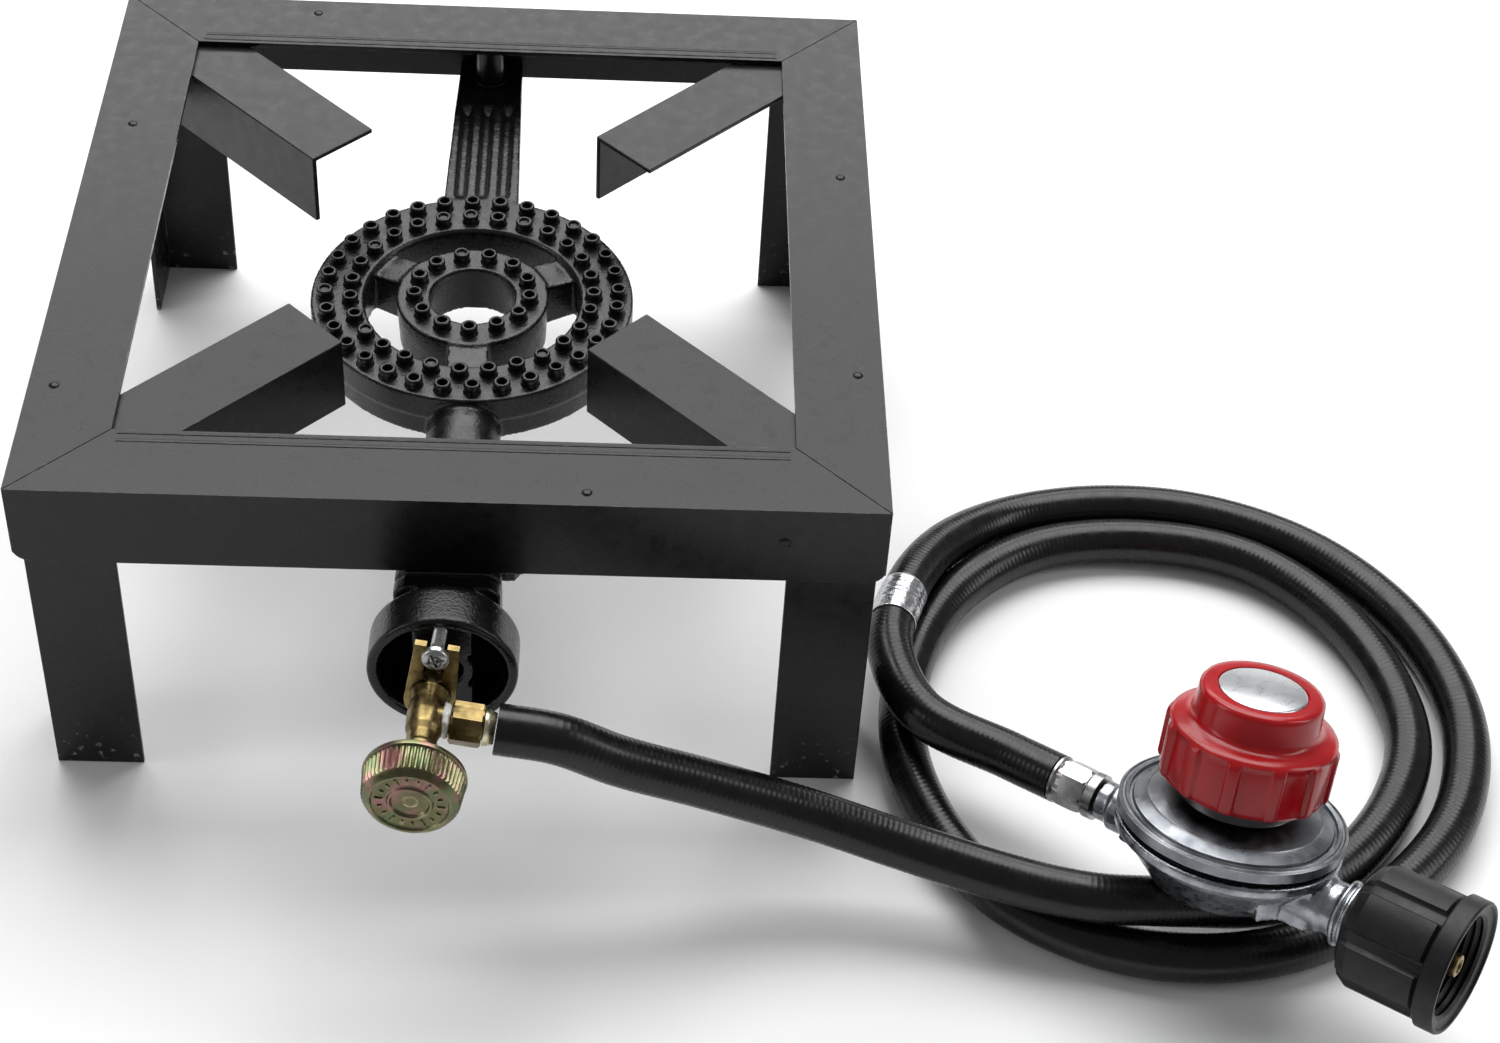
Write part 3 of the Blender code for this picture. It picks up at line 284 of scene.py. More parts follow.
def worn_edge(material, width, amount=0.5):
    """Near 1 on the outer and inner edges, broken up by patches."""
    soft = add(material, "ShaderNodeBevel", {"Radius": width}, samples=4).outputs["Normal"]
    flat = add(material, "ShaderNodeNewGeometry", {}).outputs["Normal"]
    facing = add(material, "ShaderNodeVectorMath", {0: soft, 1: flat}, operation="DOT_PRODUCT")
    edge = share(material, facing.outputs["Value"], 0.995, 0.9)
    broken = share(material, blotches(material, 4 * MM, 6, 3.1), 0.62 - amount * 0.3, 0.7)
    return times(material, edge, broken)


def finish(name, main, second, patch, rough, grain, depth, metal=0.0, worn=None, amount=0.5, **shader):
    """A surface with two tones in patches, a grain that stands depth high, and rubbed edges."""
    material = bpy.data.materials.new(name)
    material.use_nodes = True
    material.node_tree.nodes.clear()
    patches = share(material, blotches(material, patch), 0.35, 0.65)
    tone = mixed(material, patches, colour(main), colour(second))
    fine = blotches(material, grain, 3, 7.7)
    roughness = share(material, blotches(material, patch * 0.4, 5, 1.3), 0.3, 0.7, *rough)
    if worn:
        edge = worn_edge(material, 0.5 * MM, amount)
        tone = mixed(material, edge, tone, colour(worn))
    bump = add(material, "ShaderNodeBump", {"Height": fine, "Distance": depth, "Strength": 1.0})
    inputs = {"Base Color": tone, "Roughness": roughness, "Metallic": metal}
    inputs["Normal"] = bump.outputs["Normal"]
    inputs.update(shader)
    surface = add(material, "ShaderNodeBsdfPrincipled", inputs)
    surface.name = "surface"
    add(material, "ShaderNodeOutputMaterial", {"Surface": surface.outputs["BSDF"]})
    return material


def surface_of(material):
    return material.node_tree.nodes["surface"]


def fed_by(material, socket):
    return surface_of(material).inputs[socket].links[0].from_socket


def feed(material, socket, value):
    material.node_tree.links.new(value, surface_of(material).inputs[socket])


def recolour(material, factor, value):
    """Lays a colour over the material where factor is 1."""
    feed(material, "Base Color", mixed(material, factor, fed_by(material, "Base Color"), colour(value)))


def part_of_place(material, place):
    """The spot in a piece's own frame, with its X, Y and Z apart."""
    spot = add(material, "ShaderNodeTexCoord", {}).outputs["Object"]
    back = place.inverted()
    turn = back.to_euler()
    inputs = {"Vector": spot, "Rotation": tuple(turn), "Location": tuple(back.translation)}
    local = add(material, "ShaderNodeMapping", inputs, vector_type="POINT").outputs["Vector"]
    return add(material, "ShaderNodeSeparateXYZ", {"Vector": local}).outputs


# Satin black paint brushed and baked on rolled angle iron: a soft grey sheen, orange peel of
# about half a millimetre, dull mottled marks and bare grey steel at the sharp edges.
paint = finish(
    "satin_black_paint", "#0d0d0e", "#131315", 14 * MM, (0.24, 0.36), 0.9 * MM, 0.02 * MM,
    worn="#6d6a66", amount=0.4, **{"Specular IOR Level": 0.3},
)
height = part_of_place(paint, Matrix())["Z"]
scorch = share(paint, blotches(paint, 3.2 * MM, 6, 2.2), 0.62, 0.68)
recolour(paint, times(paint, scorch, share(paint, height, 26 * MM, 4 * MM)), "#77706a")
mottle = share(paint, blotches(paint, 1.6 * MM, 8, 5.5), 0.6, 0.7, 0.0, 0.5)
patch = share(paint, blotches(paint, 60 * MM, 2, 9.1), 0.45, 0.65)
recolour(paint, times(paint, mottle, patch), "#2e2e2f")

# Sand-cast iron under thin gloss black: a grain of half a millimetre that breaks up the shine.
iron = finish(
    "black_cast_iron", "#0d0d0e", "#141415", 9 * MM, (0.2, 0.36), 0.9 * MM, 0.16 * MM,
    worn="#56524e", amount=0.3, **{"Specular IOR Level": 0.42},
)
# The mixer is dipped in thicker, glossier paint, with the casting's coarse grain below it.
gloss_iron = finish(
    "gloss_black_cast_iron", "#0b0b0c", "#111112", 6 * MM, (0.16, 0.3), 1.1 * MM, 0.16 * MM,
    worn="#4f4c49", amount=0.25, **{"Specular IOR Level": 0.3},
)
# Forged brass, dulled by handling, brighter where the edges are rubbed.
brass = finish(
    "dull_brass", "#8c7a50", "#68593a", 5 * MM, (0.24, 0.4), 0.5 * MM, 0.02 * MM, metal=1.0,
    worn="#c9b481", amount=0.8,
)
# The hose's cone is freshly turned and almost white.
pale_brass = finish(
    "turned_pale_brass", "#d9d2b4", "#c4bb98", 4 * MM, (0.24, 0.36), 0.4 * MM, 0.02 * MM, metal=1.0
)
# Yellow zinc chromate: a thin film whose tint runs from straw through pink to green.
chromate = finish(
    "yellow_chromate", "#6f6c4e", "#5f5d44", 6 * MM, (0.24, 0.38), 0.4 * MM, 0.015 * MM, metal=1.0,
    worn="#cfc6a4", amount=0.8,
)
recolour(chromate, share(chromate, blotches(chromate, 7 * MM, 3, 4.4), 0.5, 0.66, 0.0, 0.75), "#94686a")
recolour(chromate, share(chromate, blotches(chromate, 8 * MM, 3, 8.8), 0.52, 0.68, 0.0, 0.7), "#5f7050")
# Cold-formed steel with clear zinc: an even light grey.
zinc_steel = finish(
    "zinc_plated_steel", "#a9a9a8", "#989897", 6 * MM, (0.24, 0.34), 0.5 * MM, 0.01 * MM, metal=1.0,
    worn="#d5d5d4", amount=0.5,
)
# Pressure-cast zinc, tumbled: grey with dull cloudy patches from the mould.
zinc = finish(
    "die_cast_zinc", "#a6a9ad", "#83878c", 7 * MM, (0.2, 0.36), 0.8 * MM, 0.03 * MM, metal=1.0,
    worn="#eceded", amount=0.9,
)
# The same zinc cast against a rougher mould: cloudier, with painted shade that darkens it towards the neck,
# under the red cap.
cloudy_zinc_painted_shade = finish(
    "cloudy_die_cast_zinc_painted_shade", "#94979b", "#74787d", 11 * MM, (0.26, 0.44), 0.7 * MM, 0.05 * MM,
    metal=1.0, worn="#dcdddd", amount=0.9,
)
# Painted shade: the bonnet's colour darkens towards its neck, where the red cap overhangs it.
away = part_of_place(cloudy_zinc_painted_shade, REGULATOR)["Z"]
recolour(cloudy_zinc_painted_shade, share(cloudy_zinc_painted_shade, away, 19.5 * MM, 24 * MM, 0.0, 0.8), "#413b3e")
# Unsintered tape: chalky white, drawn into the threads it covers.
tape = finish("thread_tape", "#f0efea", "#dddbd4", 2 * MM, (0.45, 0.6), 0.4 * MM, 0.05 * MM)
# Extruded rubber over braid: deep black, with a soft shine and dusty finger marks.
rubber = finish(
    "extruded_rubber", "#0a0a0b", "#101012", 12 * MM, (0.2, 0.34), 0.5 * MM, 0.015 * MM,
    **{"Specular IOR Level": 0.36},
)
seal_rubber = finish("seal_rubber", "#17181a", "#202123", 3 * MM, (0.4, 0.5), 0.4 * MM, 0.01 * MM)
# Foil label wrapped by hand: bright, creased across the hose every few millimetres.
foil = finish(
    "silver_foil", "#dcdddf", "#c2c4c8", 4 * MM, (0.16, 0.32), 2.6 * MM, 0.25 * MM, metal=1.0
)
# Brushed aluminium disc under clear varnish.
disc_foil = finish(
    "brushed_disc", "#d3d4d6", "#cbcdd0", 9 * MM, (0.26, 0.32), 0.3 * MM, 0.006 * MM, metal=1.0
)
# Moulded red ABS: saturated, with a soft gloss and fine rubbed edges.
red = finish(
    "red_abs", "#a81319", "#940f15", 18 * MM, (0.16, 0.26), 3 * MM, 0.03 * MM,
    worn="#c23a3f", amount=0.35, **{"Specular IOR Level": 0.38},
)
# Moulded black nylon: matte, with the even grain of the mould's spark-eroded face.
nylon = finish(
    "black_nylon", "#101011", "#161617", 10 * MM, (0.38, 0.5), 0.6 * MM, 0.04 * MM,
    worn="#353433", amount=0.4, **{"Specular IOR Level": 0.32},
)


# --- Camera, light and floor -------------------------------------------------------------------


def add_camera():
    data = bpy.data.cameras.new("camera")
    data.lens = 68.25
    data.sensor_width = 36
    data.clip_start = 0.01
    item = bpy.data.objects.new("camera", data)
    bpy.context.scene.collection.objects.link(item)
    right = Vector((0.9986, -0.0136, 0.0506))
    up = Vector((-0.0274, 0.6874, 0.7258))
    back = right.cross(up)
    turn = Matrix((right, up, back)).transposed().to_4x4()
    item.matrix_world = Matrix.Translation((0.0584, STAND_BACK - 0.8521, 0.7971)) @ turn
    bpy.context.scene.camera = item


def add_light(name, place, target, width, depth, power):
    data = bpy.data.lights.new(name, "AREA")
    data.shape = "RECTANGLE"
    data.size = width
    data.size_y = depth
    data.energy = power
    item = bpy.data.objects.new(name, data)
    bpy.context.scene.collection.objects.link(item)
    aim = (Vector(target) - Vector(place)).to_track_quat("-Z", "Y")
    item.matrix_world = Matrix.Translation(place) @ aim.to_matrix().to_4x4()


def add_studio():
    world = bpy.data.worlds.new("studio")
    world.use_nodes = True
    world.node_tree.nodes["Background"].inputs["Color"].default_value = colour("#f4f5f7")
    world.node_tree.nodes["Background"].inputs["Strength"].default_value = 0.24
    bpy.context.scene.world = world
    bpy.context.scene.view_settings.view_transform = "Standard"
    add_light("overhead", (0.1, 0.95, 2.0), (0.1, 0, 0), 2.4, 1.4, 56)
    add_light("back_panel", (0.1, 2.3, 1.5), (0.1, 0, 0.1), 3.0, 0.8, 30)
    add_light("left_panel", (-1.6, -0.3, 0.8), (0, 0, 0.1), 0.5, 1.2, 5)
    add_light("right_panel", (1.7, -0.2, 0.9), (0.2, 0, 0.05), 0.4, 1.2, 6)
    mesh = bpy.data.meshes.new("floor")
    half = 6.0
    corners = [(-half, -half, 0), (half, -half, 0), (half, half, 0), (-half, half, 0)]
    mesh.from_pydata(corners, [], [(0, 1, 2, 3)])
    floor = bpy.data.objects.new("floor", mesh)
    bpy.context.scene.collection.objects.link(floor)
    # Matt white sheet, with the faintest tone so that it doesn't look like a void.
    sheet = finish("floor_sheet", "#f6f6f6", "#f3f3f3", 0.5, (0.6, 0.7), 3 * MM, 0.01 * MM)
    mesh.materials.append(sheet)


# --- Hose ------------------------------------------------------------------------------------

HOSE_R = 8.9 * MM
BARB_END = 23.5 * MM
FERRULE_BACK = 67.9 * MM
CURVE_STEPS = 24
HOSE_ROUTE = (
    (59.4, -206.3, 73.5), (87, -203.9, 61), (129.6, -203.4, 43.5), (158.3, -207.3, 34.5),
    (193.3, -216.1, 29), (210.5, -220.9, 28.2), (228, -223.8, 27.4), (246, -222.5, 25),
    (263, -219.5, 21), (284, -213.8, 14.5), (311, -201, 9.6), (328.5, -186, 9.3),
    (345.5, -163.5, 9.3), (357.5, -133, 9.3), (353.5, -91, 9.3), (337.5, -58.5, 9.3),
    (310.9, -33.9, 9.3), (268, -23.5, 9.3), (222, -31.5, 9.3), (190, -57, 9.3),
    (170, -98, 9.3), (165.5, -135, 9.3), (176, -178, 9.3), (196, -208.5, 9.3),
    (232, -230, 9.3), (268, -235, 9.3), (301, -228.5, 9.3), (340, -203, 9.3),
    (369, -167, 9.3), (381, -122, 9.3), (370, -70, 9.3), (336, -27, 9.3),
    (292, -6.5, 9.3), (249, -4, 9.3), (212, -14.5, 10.5), (188, -35, 16.5),
    (168, -72, 24.6), (160.5, -108, 28.8), (170, -138, 29),
)


def smooth_line(points):
    """Points read from a smooth curve through the given ones."""
    count = len(points)
    slopes = []
    for i in range(count):
        before = points[max(i - 1, 0)]
        after = points[min(i + 1, count - 1)]
        back = (points[i] - before).length or 1
        ahead = (after - points[i]).length or 1
        slope = (after - points[i]) / ahead * back + (points[i] - before) / back * ahead
        slopes.append(slope / (back + ahead))
    line = []
    for i in range(count - 1):
        length = (points[i + 1] - points[i]).length
        for step in range(CURVE_STEPS):
            t = step / CURVE_STEPS
            start = points[i] * (2 * t**3 - 3 * t**2 + 1)
            leave = slopes[i] * length * (t**3 - 2 * t**2 + t)
            end = points[i + 1] * (3 * t**2 - 2 * t**3)
            arrive = slopes[i + 1] * length * (t**3 - t**2)
            line.append(start + leave + end + arrive)
    line.append(points[-1])
    return line


def spaced(line, spacing):
    """The same line with its points evenly spaced."""
    total = sum((b - a).length for a, b in zip(line, line[1:]))
    pieces = max(1, round(total / spacing))
    step = total / pieces
    result = [line[0]]
    travelled = 0.0
    for a, b in zip(line, line[1:]):
        length = (b - a).length
        while len(result) < pieces and travelled + length >= step * len(result):
            result.append(a.lerp(b, (step * len(result) - travelled) / length))
        travelled += length
    result.append(line[-1])
    return result


def add_tube(work, points, radius_at, sides, capped=True):
    """A tube round the points. radius_at(number) is its radius at each of them."""
    normal = (points[1] - points[0]).orthogonal().normalized()
    rings = []
    for number, point in enumerate(points):
        ahead = points[min(number + 1, len(points) - 1)]
        along = (ahead - points[max(number - 1, 0)]).normalized()
        normal = (normal - along * normal.dot(along)).normalized()
        side = along.cross(normal)
        radius = radius_at(number)
        ring = []
        for step in range(sides):
            angle = ONE_TURN * step / sides
            offset = normal * math.cos(angle) + side * math.sin(angle)
            ring.append(work.verts.new(point + offset * radius))
        rings.append(ring)
    for first, second in zip(rings, rings[1:]):
        for step in range(sides):
            after = (step + 1) % sides
            work.faces.new((first[step], first[after], second[after], second[step]))
    if capped:
        work.faces.new(rings[0])
        work.faces.new(rings[-1])


def hose_line():
    start = BRANCH @ Vector((0, 0, BARB_END + 0.3 * MM))
    straight = 2.2 * HOSE_R
    leave = BRANCH @ Vector((0, 0, BARB_END + 0.3 * MM + straight))
    end = REGULATOR @ Vector((-FERRULE_BACK, 0, 0))
    arrive = REGULATOR @ Vector((-FERRULE_BACK - straight, 0, 0))
    shift = Vector((0, STAND_BACK, 0))
    route = [Vector(point) * MM + shift for point in HOSE_ROUTE]
    return smooth_line([start, leave, *route, arrive, end])


def add_hose():
    """The rubber tube with its moulded cross ridges, and the foil label wrapped round it."""
    line = spaced(hose_line(), 0.7 * MM)
    # Ridges 2.1 mm apart and 0.12 mm high cross the hose all along, as its braid shows through.
    ridge = [HOSE_R - 0.12 * MM, HOSE_R - 0.02 * MM, HOSE_R - 0.02 * MM]
    work = bmesh.new()
    add_tube(work, line, lambda number: ridge[number % 3], 40)
    hose = piece("rubber_hose", to_mesh("rubber_hose", work), rubber, "stand", "hose")
    route = spaced(line, 8 * MM)
    centre = len(line) - round(118 / 0.7)
    half = round(10.5 / 0.7)
    band = line[centre - half : centre + half + 1]
    label_work = bmesh.new()
    rng = random.Random(11)
    crease = [rng.uniform(0.22, 0.45) * MM for _ in band]
    add_tube(label_work, band, lambda number: HOSE_R + crease[number], 48, False)
    label_mesh = to_mesh("foil_label", label_work, 60)
    label = piece("foil_label", label_mesh, foil, "stand", "hose_label")
    wall = label.modifiers.new("foil", "SOLIDIFY")
    wall.thickness = 0.12 * MM
    wall.offset = -1
    return hose, label, route


# --- Stand -----------------------------------------------------------------------------------

RAIL_TOP = 139 * MM
RAIL_BEADS = ("rail_front", "rail_back")
# Weld spatter that the paint has covered: x and y from the stand's middle, on the rail tops.
WELD_PIPS = ((-141, -96), (46, -143.5), (141, -78), (-72, 141), (-136, 60), (139, 40))


def add_dome(work, place, radius, rise, steps=16):
    profile = [(0, rise), (radius * 0.45, rise * 0.9), (radius * 0.8, rise * 0.5)]
    profile += [(radius, 0), (radius, -0.4 * MM), (0, -0.4 * MM)]
    add_turned(work, profile, place, steps)


def add_stand():
    for side in ("front", "back", "left", "right"):
        node = "rail_" + side
        softened(node + "_iron", node, paint, "stand", 0.7 * MM)
    for corner in ("front_left", "front_right", "back_left", "back_right"):
        for node in ("leg_" + corner, "pot_support_" + corner):
            softened(node + "_iron", node, paint, "stand", 0.5 * MM)
    marks = bmesh.new()
    for node in RAIL_BEADS:
        low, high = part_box(node)
        way = 1 if node == "rail_front" else -1
        inner = STAND_BACK - way * (150 - 32) * MM
        line = inner - way * 5.5 * MM
        ends = (low.x + 34 * MM, high.x - 34 * MM)
        for offset, wide in ((0, 0.9), (way * 3.6 * MM, 0.5)):
            middle_y = line + offset
            rows = []
            for x in ends:
                for step in range(7):
                    t = math.pi * step / 6
                    across = wide * MM * math.cos(t)
                    rows.append((x, middle_y + across, RAIL_TOP - 0.1 * MM + 0.35 * MM * math.sin(t)))
            verts = [marks.verts.new(row) for row in rows]
            for step in range(6):
                marks.faces.new((verts[step], verts[step + 1], verts[step + 8], verts[step + 7]))
            marks.faces.new((verts[0], verts[6], verts[13], verts[7]))
            marks.faces.new(verts[:7])
            marks.faces.new(verts[7:])
    for x, y in WELD_PIPS:
        place = Matrix.Translation((x * MM, STAND_BACK + y * MM, RAIL_TOP))
        add_dome(marks, place, 1.9 * MM, 0.7 * MM)
    front = Matrix.Translation((114 * MM, STAND_BACK - 150 * MM, RAIL_TOP - 15 * MM))
    face = front @ Matrix.Rotation(math.radians(90), 4, "X")
    add_dome(marks, face, 2.4 * MM, 0.8 * MM)
    # Runs of weld where each pot support meets its leg, laid by hand on the underside.
    rng = random.Random(5)
    for number in range(4):
        turn = Matrix.Rotation(math.radians(45 + 90 * number), 4, "Z")
        for step in range(14):
            across = (step - 6.5) * 2.1 * MM
            away = 177 * MM + rng.uniform(-0.6, 0.6) * MM
            spot = turn @ Vector((away, across, 134.2 * MM)) + Vector((0, STAND_BACK, 0))
            add_dome(marks, Matrix.Translation(spot), 1.8 * MM, -1.1 * MM, 10)
    piece("beads_and_spatter", to_mesh("beads_and_spatter", marks), paint, "stand")


# --- Burner ----------------------------------------------------------------------------------

DECK_Z = 107 * MM
RING_BOTTOM = 87 * MM
RING_OUTER = 61.5 * MM
RING_INNER = 41 * MM
HUB_OUTER = 29 * MM
HUB_HOLE = 16.3 * MM
NOZZLE_ROWS = ((56 * MM, 32, 0.28), (46.4 * MM, 27, -0.2), (22.1 * MM, 13, 0.0))
TUBE_R = 13 * MM
TUBE_BORE = 9.5 * MM
TUBE_END = 150.5 * MM
FLANGE = (37 * MM, 29 * MM)
HANGER_Y = 134 * MM
ARM_ROOT = 53.5 * MM
ARM_END = 147 * MM
FLUTES = (-8.4 * MM, 0.0, 8.4 * MM)
NOZZLE_TOP = 4.1  # millimetres over the deck
NOZZLE_BORE = 1.7 * MM
BORE_DEPTHS = (4.1,) * 11 + (1.2,)  # millimetres: about one bore in twelve is clogged


def flange_reach(numbers, radius):
    """Scales the profile points in numbers from a circle of this radius out to the flange's oblong."""
    half_width, half_height = FLANGE[0] / 2, FLANGE[1] / 2

    def reach(angle, number):
        if number not in numbers:
            return 1
        across = max(abs(math.cos(angle)) / half_width, abs(math.sin(angle)) / half_height)
        corner = math.hypot(math.cos(angle) / half_width, math.sin(angle) / half_height)
        return min(1 / across, 1.25 / corner) / radius

    return reach


def add_arm(work):
    """The fluted rear arm: a skin of cross-sections along Y."""
    rows = []
    stations = 60
    for station in range(stations + 1):
        y = ARM_ROOT + (ARM_END - ARM_ROOT) * station / stations
        rise = min((y - ARM_ROOT) / (122 * MM - ARM_ROOT), 1)
        top = DECK_Z - 1 * MM + 8 * MM * rise
        half = 15 * MM - 2.25 * MM * station / stations
        fluted = min(max((y - 61 * MM) / (4 * MM), 0), max((117 * MM - y) / (4 * MM), 0), 1)
        upper, lower = [], []
        for step in range(41):
            x = half * (step / 20 - 1)
            sunk = max(max(0.0, 1 - abs(x - flute) / (2.6 * MM)) for flute in FLUTES)
            z = top - fluted * min(sunk * 2.2, 1) * 2.2 * MM
            upper.append(work.verts.new((x, y, z)))
            lower.append(work.verts.new((x, y, top - 8 * MM)))
        rows.append(upper + lower[::-1])
    for first, second in zip(rows, rows[1:]):
        count = len(first)
        for step in range(count):
            after = (step + 1) % count
            work.faces.new((first[step], first[after], second[after], second[step]))
    work.faces.new(rows[0])
    work.faces.new(rows[-1])


def casting_mesh():
    work = bmesh.new()
    here = Matrix()
    half_height = (DECK_Z + RING_BOTTOM) / 2
    outer = [
        (RING_OUTER, DECK_Z), (RING_OUTER, half_height), (RING_OUTER - 0.8 * MM, half_height),
        (RING_OUTER - 1.8 * MM, RING_BOTTOM), (RING_INNER + 0.8 * MM, RING_BOTTOM),
        (RING_INNER, half_height), (RING_INNER, DECK_Z - 1.4 * MM),
        (RING_INNER + 0.8 * MM, DECK_Z - 1.4 * MM), (RING_INNER + 0.8 * MM, DECK_Z),
    ]
    hub = [
        (HUB_OUTER, DECK_Z), (HUB_OUTER - 0.9 * MM, RING_BOTTOM),
        (HUB_HOLE + 0.9 * MM, RING_BOTTOM), (HUB_HOLE, DECK_Z),
    ]
    add_turned(work, outer, here, 180)
    add_turned(work, hub, here, 120)
    for degrees in (-90, 150, 30):
        turn = Matrix.Rotation(math.radians(degrees), 4, "Z")
        low = (HUB_OUTER - 4 * MM, -7.5 * MM, RING_BOTTOM + 1 * MM)
        bridge = add_box(work, low, (RING_INNER + 3 * MM, 7.5 * MM, DECK_Z - 3 * MM), turn)
        for vertex in bridge:
            if vertex.co.z > DECK_Z - 4 * MM and vertex.co.xy.length < HUB_OUTER:
                vertex.co.z = DECK_Z - 0.4 * MM
    forward = Matrix.Translation((0, 0, TUBE_Z)) @ Matrix.Rotation(math.radians(90), 4, "X")
    tube = [
        (0, 46.5 * MM), (TUBE_R + 0.8 * MM, 46.5 * MM), (TUBE_R + 0.8 * MM, 67 * MM),
        (TUBE_R, 71 * MM), (TUBE_R, TUBE_END - 1 * MM), (TUBE_BORE, TUBE_END - 1 * MM),
        (TUBE_BORE, TUBE_END - 40 * MM), (0, TUBE_END - 40 * MM),
    ]
    add_turned(work, tube, forward, 96)
    back = TUBE_END - 6 * MM
    flange = [(1, TUBE_END), (1, back), (TUBE_BORE, back), (TUBE_BORE, TUBE_END)]
    add_turned(work, flange, forward, 96, flange_reach((0, 1), 1))
    add_box(work, (0, -HANGER_Y - 7 * MM, 96.5 * MM), (26.2 * MM, -HANGER_Y + 7 * MM, 104.5 * MM))
    add_arm(work)
    return cast("burner_casting_skin", work, 0.75 * MM, 2)


def add_nozzles():
    """Short cast nozzles with a bevelled rim round each bore. A few bores are clogged with paint."""
    rng = random.Random(21)
    work = bmesh.new()
    for row_radius, count, first in NOZZLE_ROWS:
        for number in range(count):
            turn = math.radians(-90) + ONE_TURN * (number + first) / count
            spot = Vector((row_radius * math.cos(turn), row_radius * math.sin(turn), 0))
            tilt = Matrix.Rotation(rng.uniform(-0.05, 0.05), 4, "X")
            top = DECK_Z + (NOZZLE_TOP + rng.uniform(-0.35, 0.25)) * MM
            depth = rng.choice(BORE_DEPTHS) * MM
            spread = rng.uniform(0.94, 1.04) * MM
            profile = [
                (0, top - depth), (NOZZLE_BORE, top - depth), (NOZZLE_BORE, top - 0.5 * MM),
                (NOZZLE_BORE + 0.35 * MM, top), (NOZZLE_BORE + 1 * MM, top),
                (3.2 * spread, top - 0.5 * MM),
                (3.25 * spread, top - 1.8 * MM), (3.1 * spread, DECK_Z + 0.9 * MM),
                (3.7 * spread, DECK_Z - 0.1 * MM), (3.7 * spread, DECK_Z - 1 * MM),
                (0, DECK_Z - 1 * MM),
            ]
            place = Matrix.Translation(spot) @ Matrix.Translation((0, 0, DECK_Z)) @ tilt
            place = place @ Matrix.Translation((0, 0, -DECK_Z))
            add_turned(work, rounded(profile, 0.3 * MM, 2), place, 20)
    mesh = to_mesh("nozzles", work, 50)
    mesh.transform(BURNER)
    piece("burner_nozzles", mesh, iron, "stand")


def add_burner():
    mesh = casting_mesh()
    mesh.transform(BURNER)
    piece("burner_iron", mesh, iron, "stand", "burner_casting")
    add_nozzles()


STUD_R = 3 * MM
STUD_PITCH = 1 * MM
STUD_THREAD = 0.3 * MM  # depth of the thread
STUD_HOLE = 3.3 * MM
NUT_R = 5 * MM


def add_hangers():
    """The painted studs, spacers and washers that hold the burner, and their painted nuts."""
    for name in ("rear", "front"):
        low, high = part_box(name + "_stud")
        centre = (low + high) / 2
        place = Matrix.Translation((centre.x, centre.y, 0))
        turns = int((high.z - low.z - 1 * MM) / STUD_PITCH)
        stud = [(0, low.z)]
        for number in range(turns * 2):
            deep = STUD_THREAD if number % 2 else 0.0
            stud.append((STUD_R - deep, low.z + 0.5 * MM + number * STUD_PITCH / 2))
        stud += [(STUD_R, high.z), (0, high.z)]
        piece(name + "_thread", turned(name + "_thread", stud, place, 32), paint, "stand", name + "_stud")
        for part, softness in (("_spacer", 0.5), ("_washer", 0.3)):
            node_low, node_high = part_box(name + part)
            radius = (node_high.x - node_low.x) / 2
            top, bottom = node_high.z, node_low.z
            ring = [(radius, top), (radius, bottom), (STUD_HOLE, bottom), (STUD_HOLE, top)]
            mesh = turned(name + part, rounded(ring, softness * MM), place, 64)
            piece(name + part + "_ring", mesh, paint, "stand", name + part)
        node_low, node_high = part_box(name + "_nut")
        mesh = hex_nut(name + "_hex", NUT_R, STUD_HOLE, node_low.z, node_high.z, place)
        piece(name + "_hex_nut", mesh, paint, "stand", name + "_nut")


def hex_reach(numbers):
    def reach(angle, number):
        if number not in numbers:
            return 1
        return 1 / math.cos((angle % (ONE_TURN / 6)) - ONE_TURN / 12)

    return reach


def hex_nut(name, apothem, hole, low, high, place, chamfer=0.9 * MM):
    """A hexagon nut whose corners are turned down at both faces."""
    profile = [
        (hole, high), (apothem * 0.98, high), (apothem, high - chamfer * 0.4),
        (apothem, low + chamfer * 0.4), (apothem * 0.98, low), (hole, low),
    ]
    mesh = turned(name, profile, place, 72, hex_reach((2, 3)), 25)
    return mesh


# --- Air mixer -------------------------------------------------------------------------------


def add_bell():
    """The dipped cast mixer with its upright web, in the tube's frame with Z pointing forward."""
    work = bmesh.new()
    lip, back, mouth = 184.5 * MM, 167.5 * MM, 22 * MM
    skin = [
        (25.8 * MM, lip - 1 * MM), (25.8 * MM, back + 1 * MM), (24 * MM, back - 1.2 * MM),
        (14.5 * MM, 156 * MM), (9.2 * MM, 156 * MM), (9.2 * MM, 141 * MM), (7.2 * MM, 141 * MM),
        (7.2 * MM, 158 * MM), (mouth - 1 * MM, 171 * MM), (mouth, lip - 1 * MM),
        (mouth + 1 * MM, lip), (25 * MM, lip),
    ]
    add_turned(work, skin, TUBE, 160)
    neck = [(1, 157.5 * MM), (1, 150.8 * MM), (8 * MM, 150.8 * MM), (8 * MM, 157.5 * MM)]
    add_turned(work, neck, TUBE, 96, flange_reach((0, 1), 1))
    eye = [(10.6 * MM, 183 * MM), (10.6 * MM, 177 * MM), (7 * MM, 177 * MM), (7 * MM, 183 * MM)]
    add_turned(work, eye, TUBE, 72)
    for way in (1, -1):
        near, far = sorted((way * 7.6 * MM, way * 23.2 * MM))
        add_box(work, (-10.2 * MM, near, 177 * MM), (10.2 * MM, far, 183 * MM), TUBE)
    mesh = cast("air_mixer_skin", work, 0.7 * MM, 2)
    piece("air_mixer", mesh, gloss_iron, "stand", "air_mixer_bell")


# --- Valve -----------------------------------------------------------------------------------

KNOB_RIBS = 54


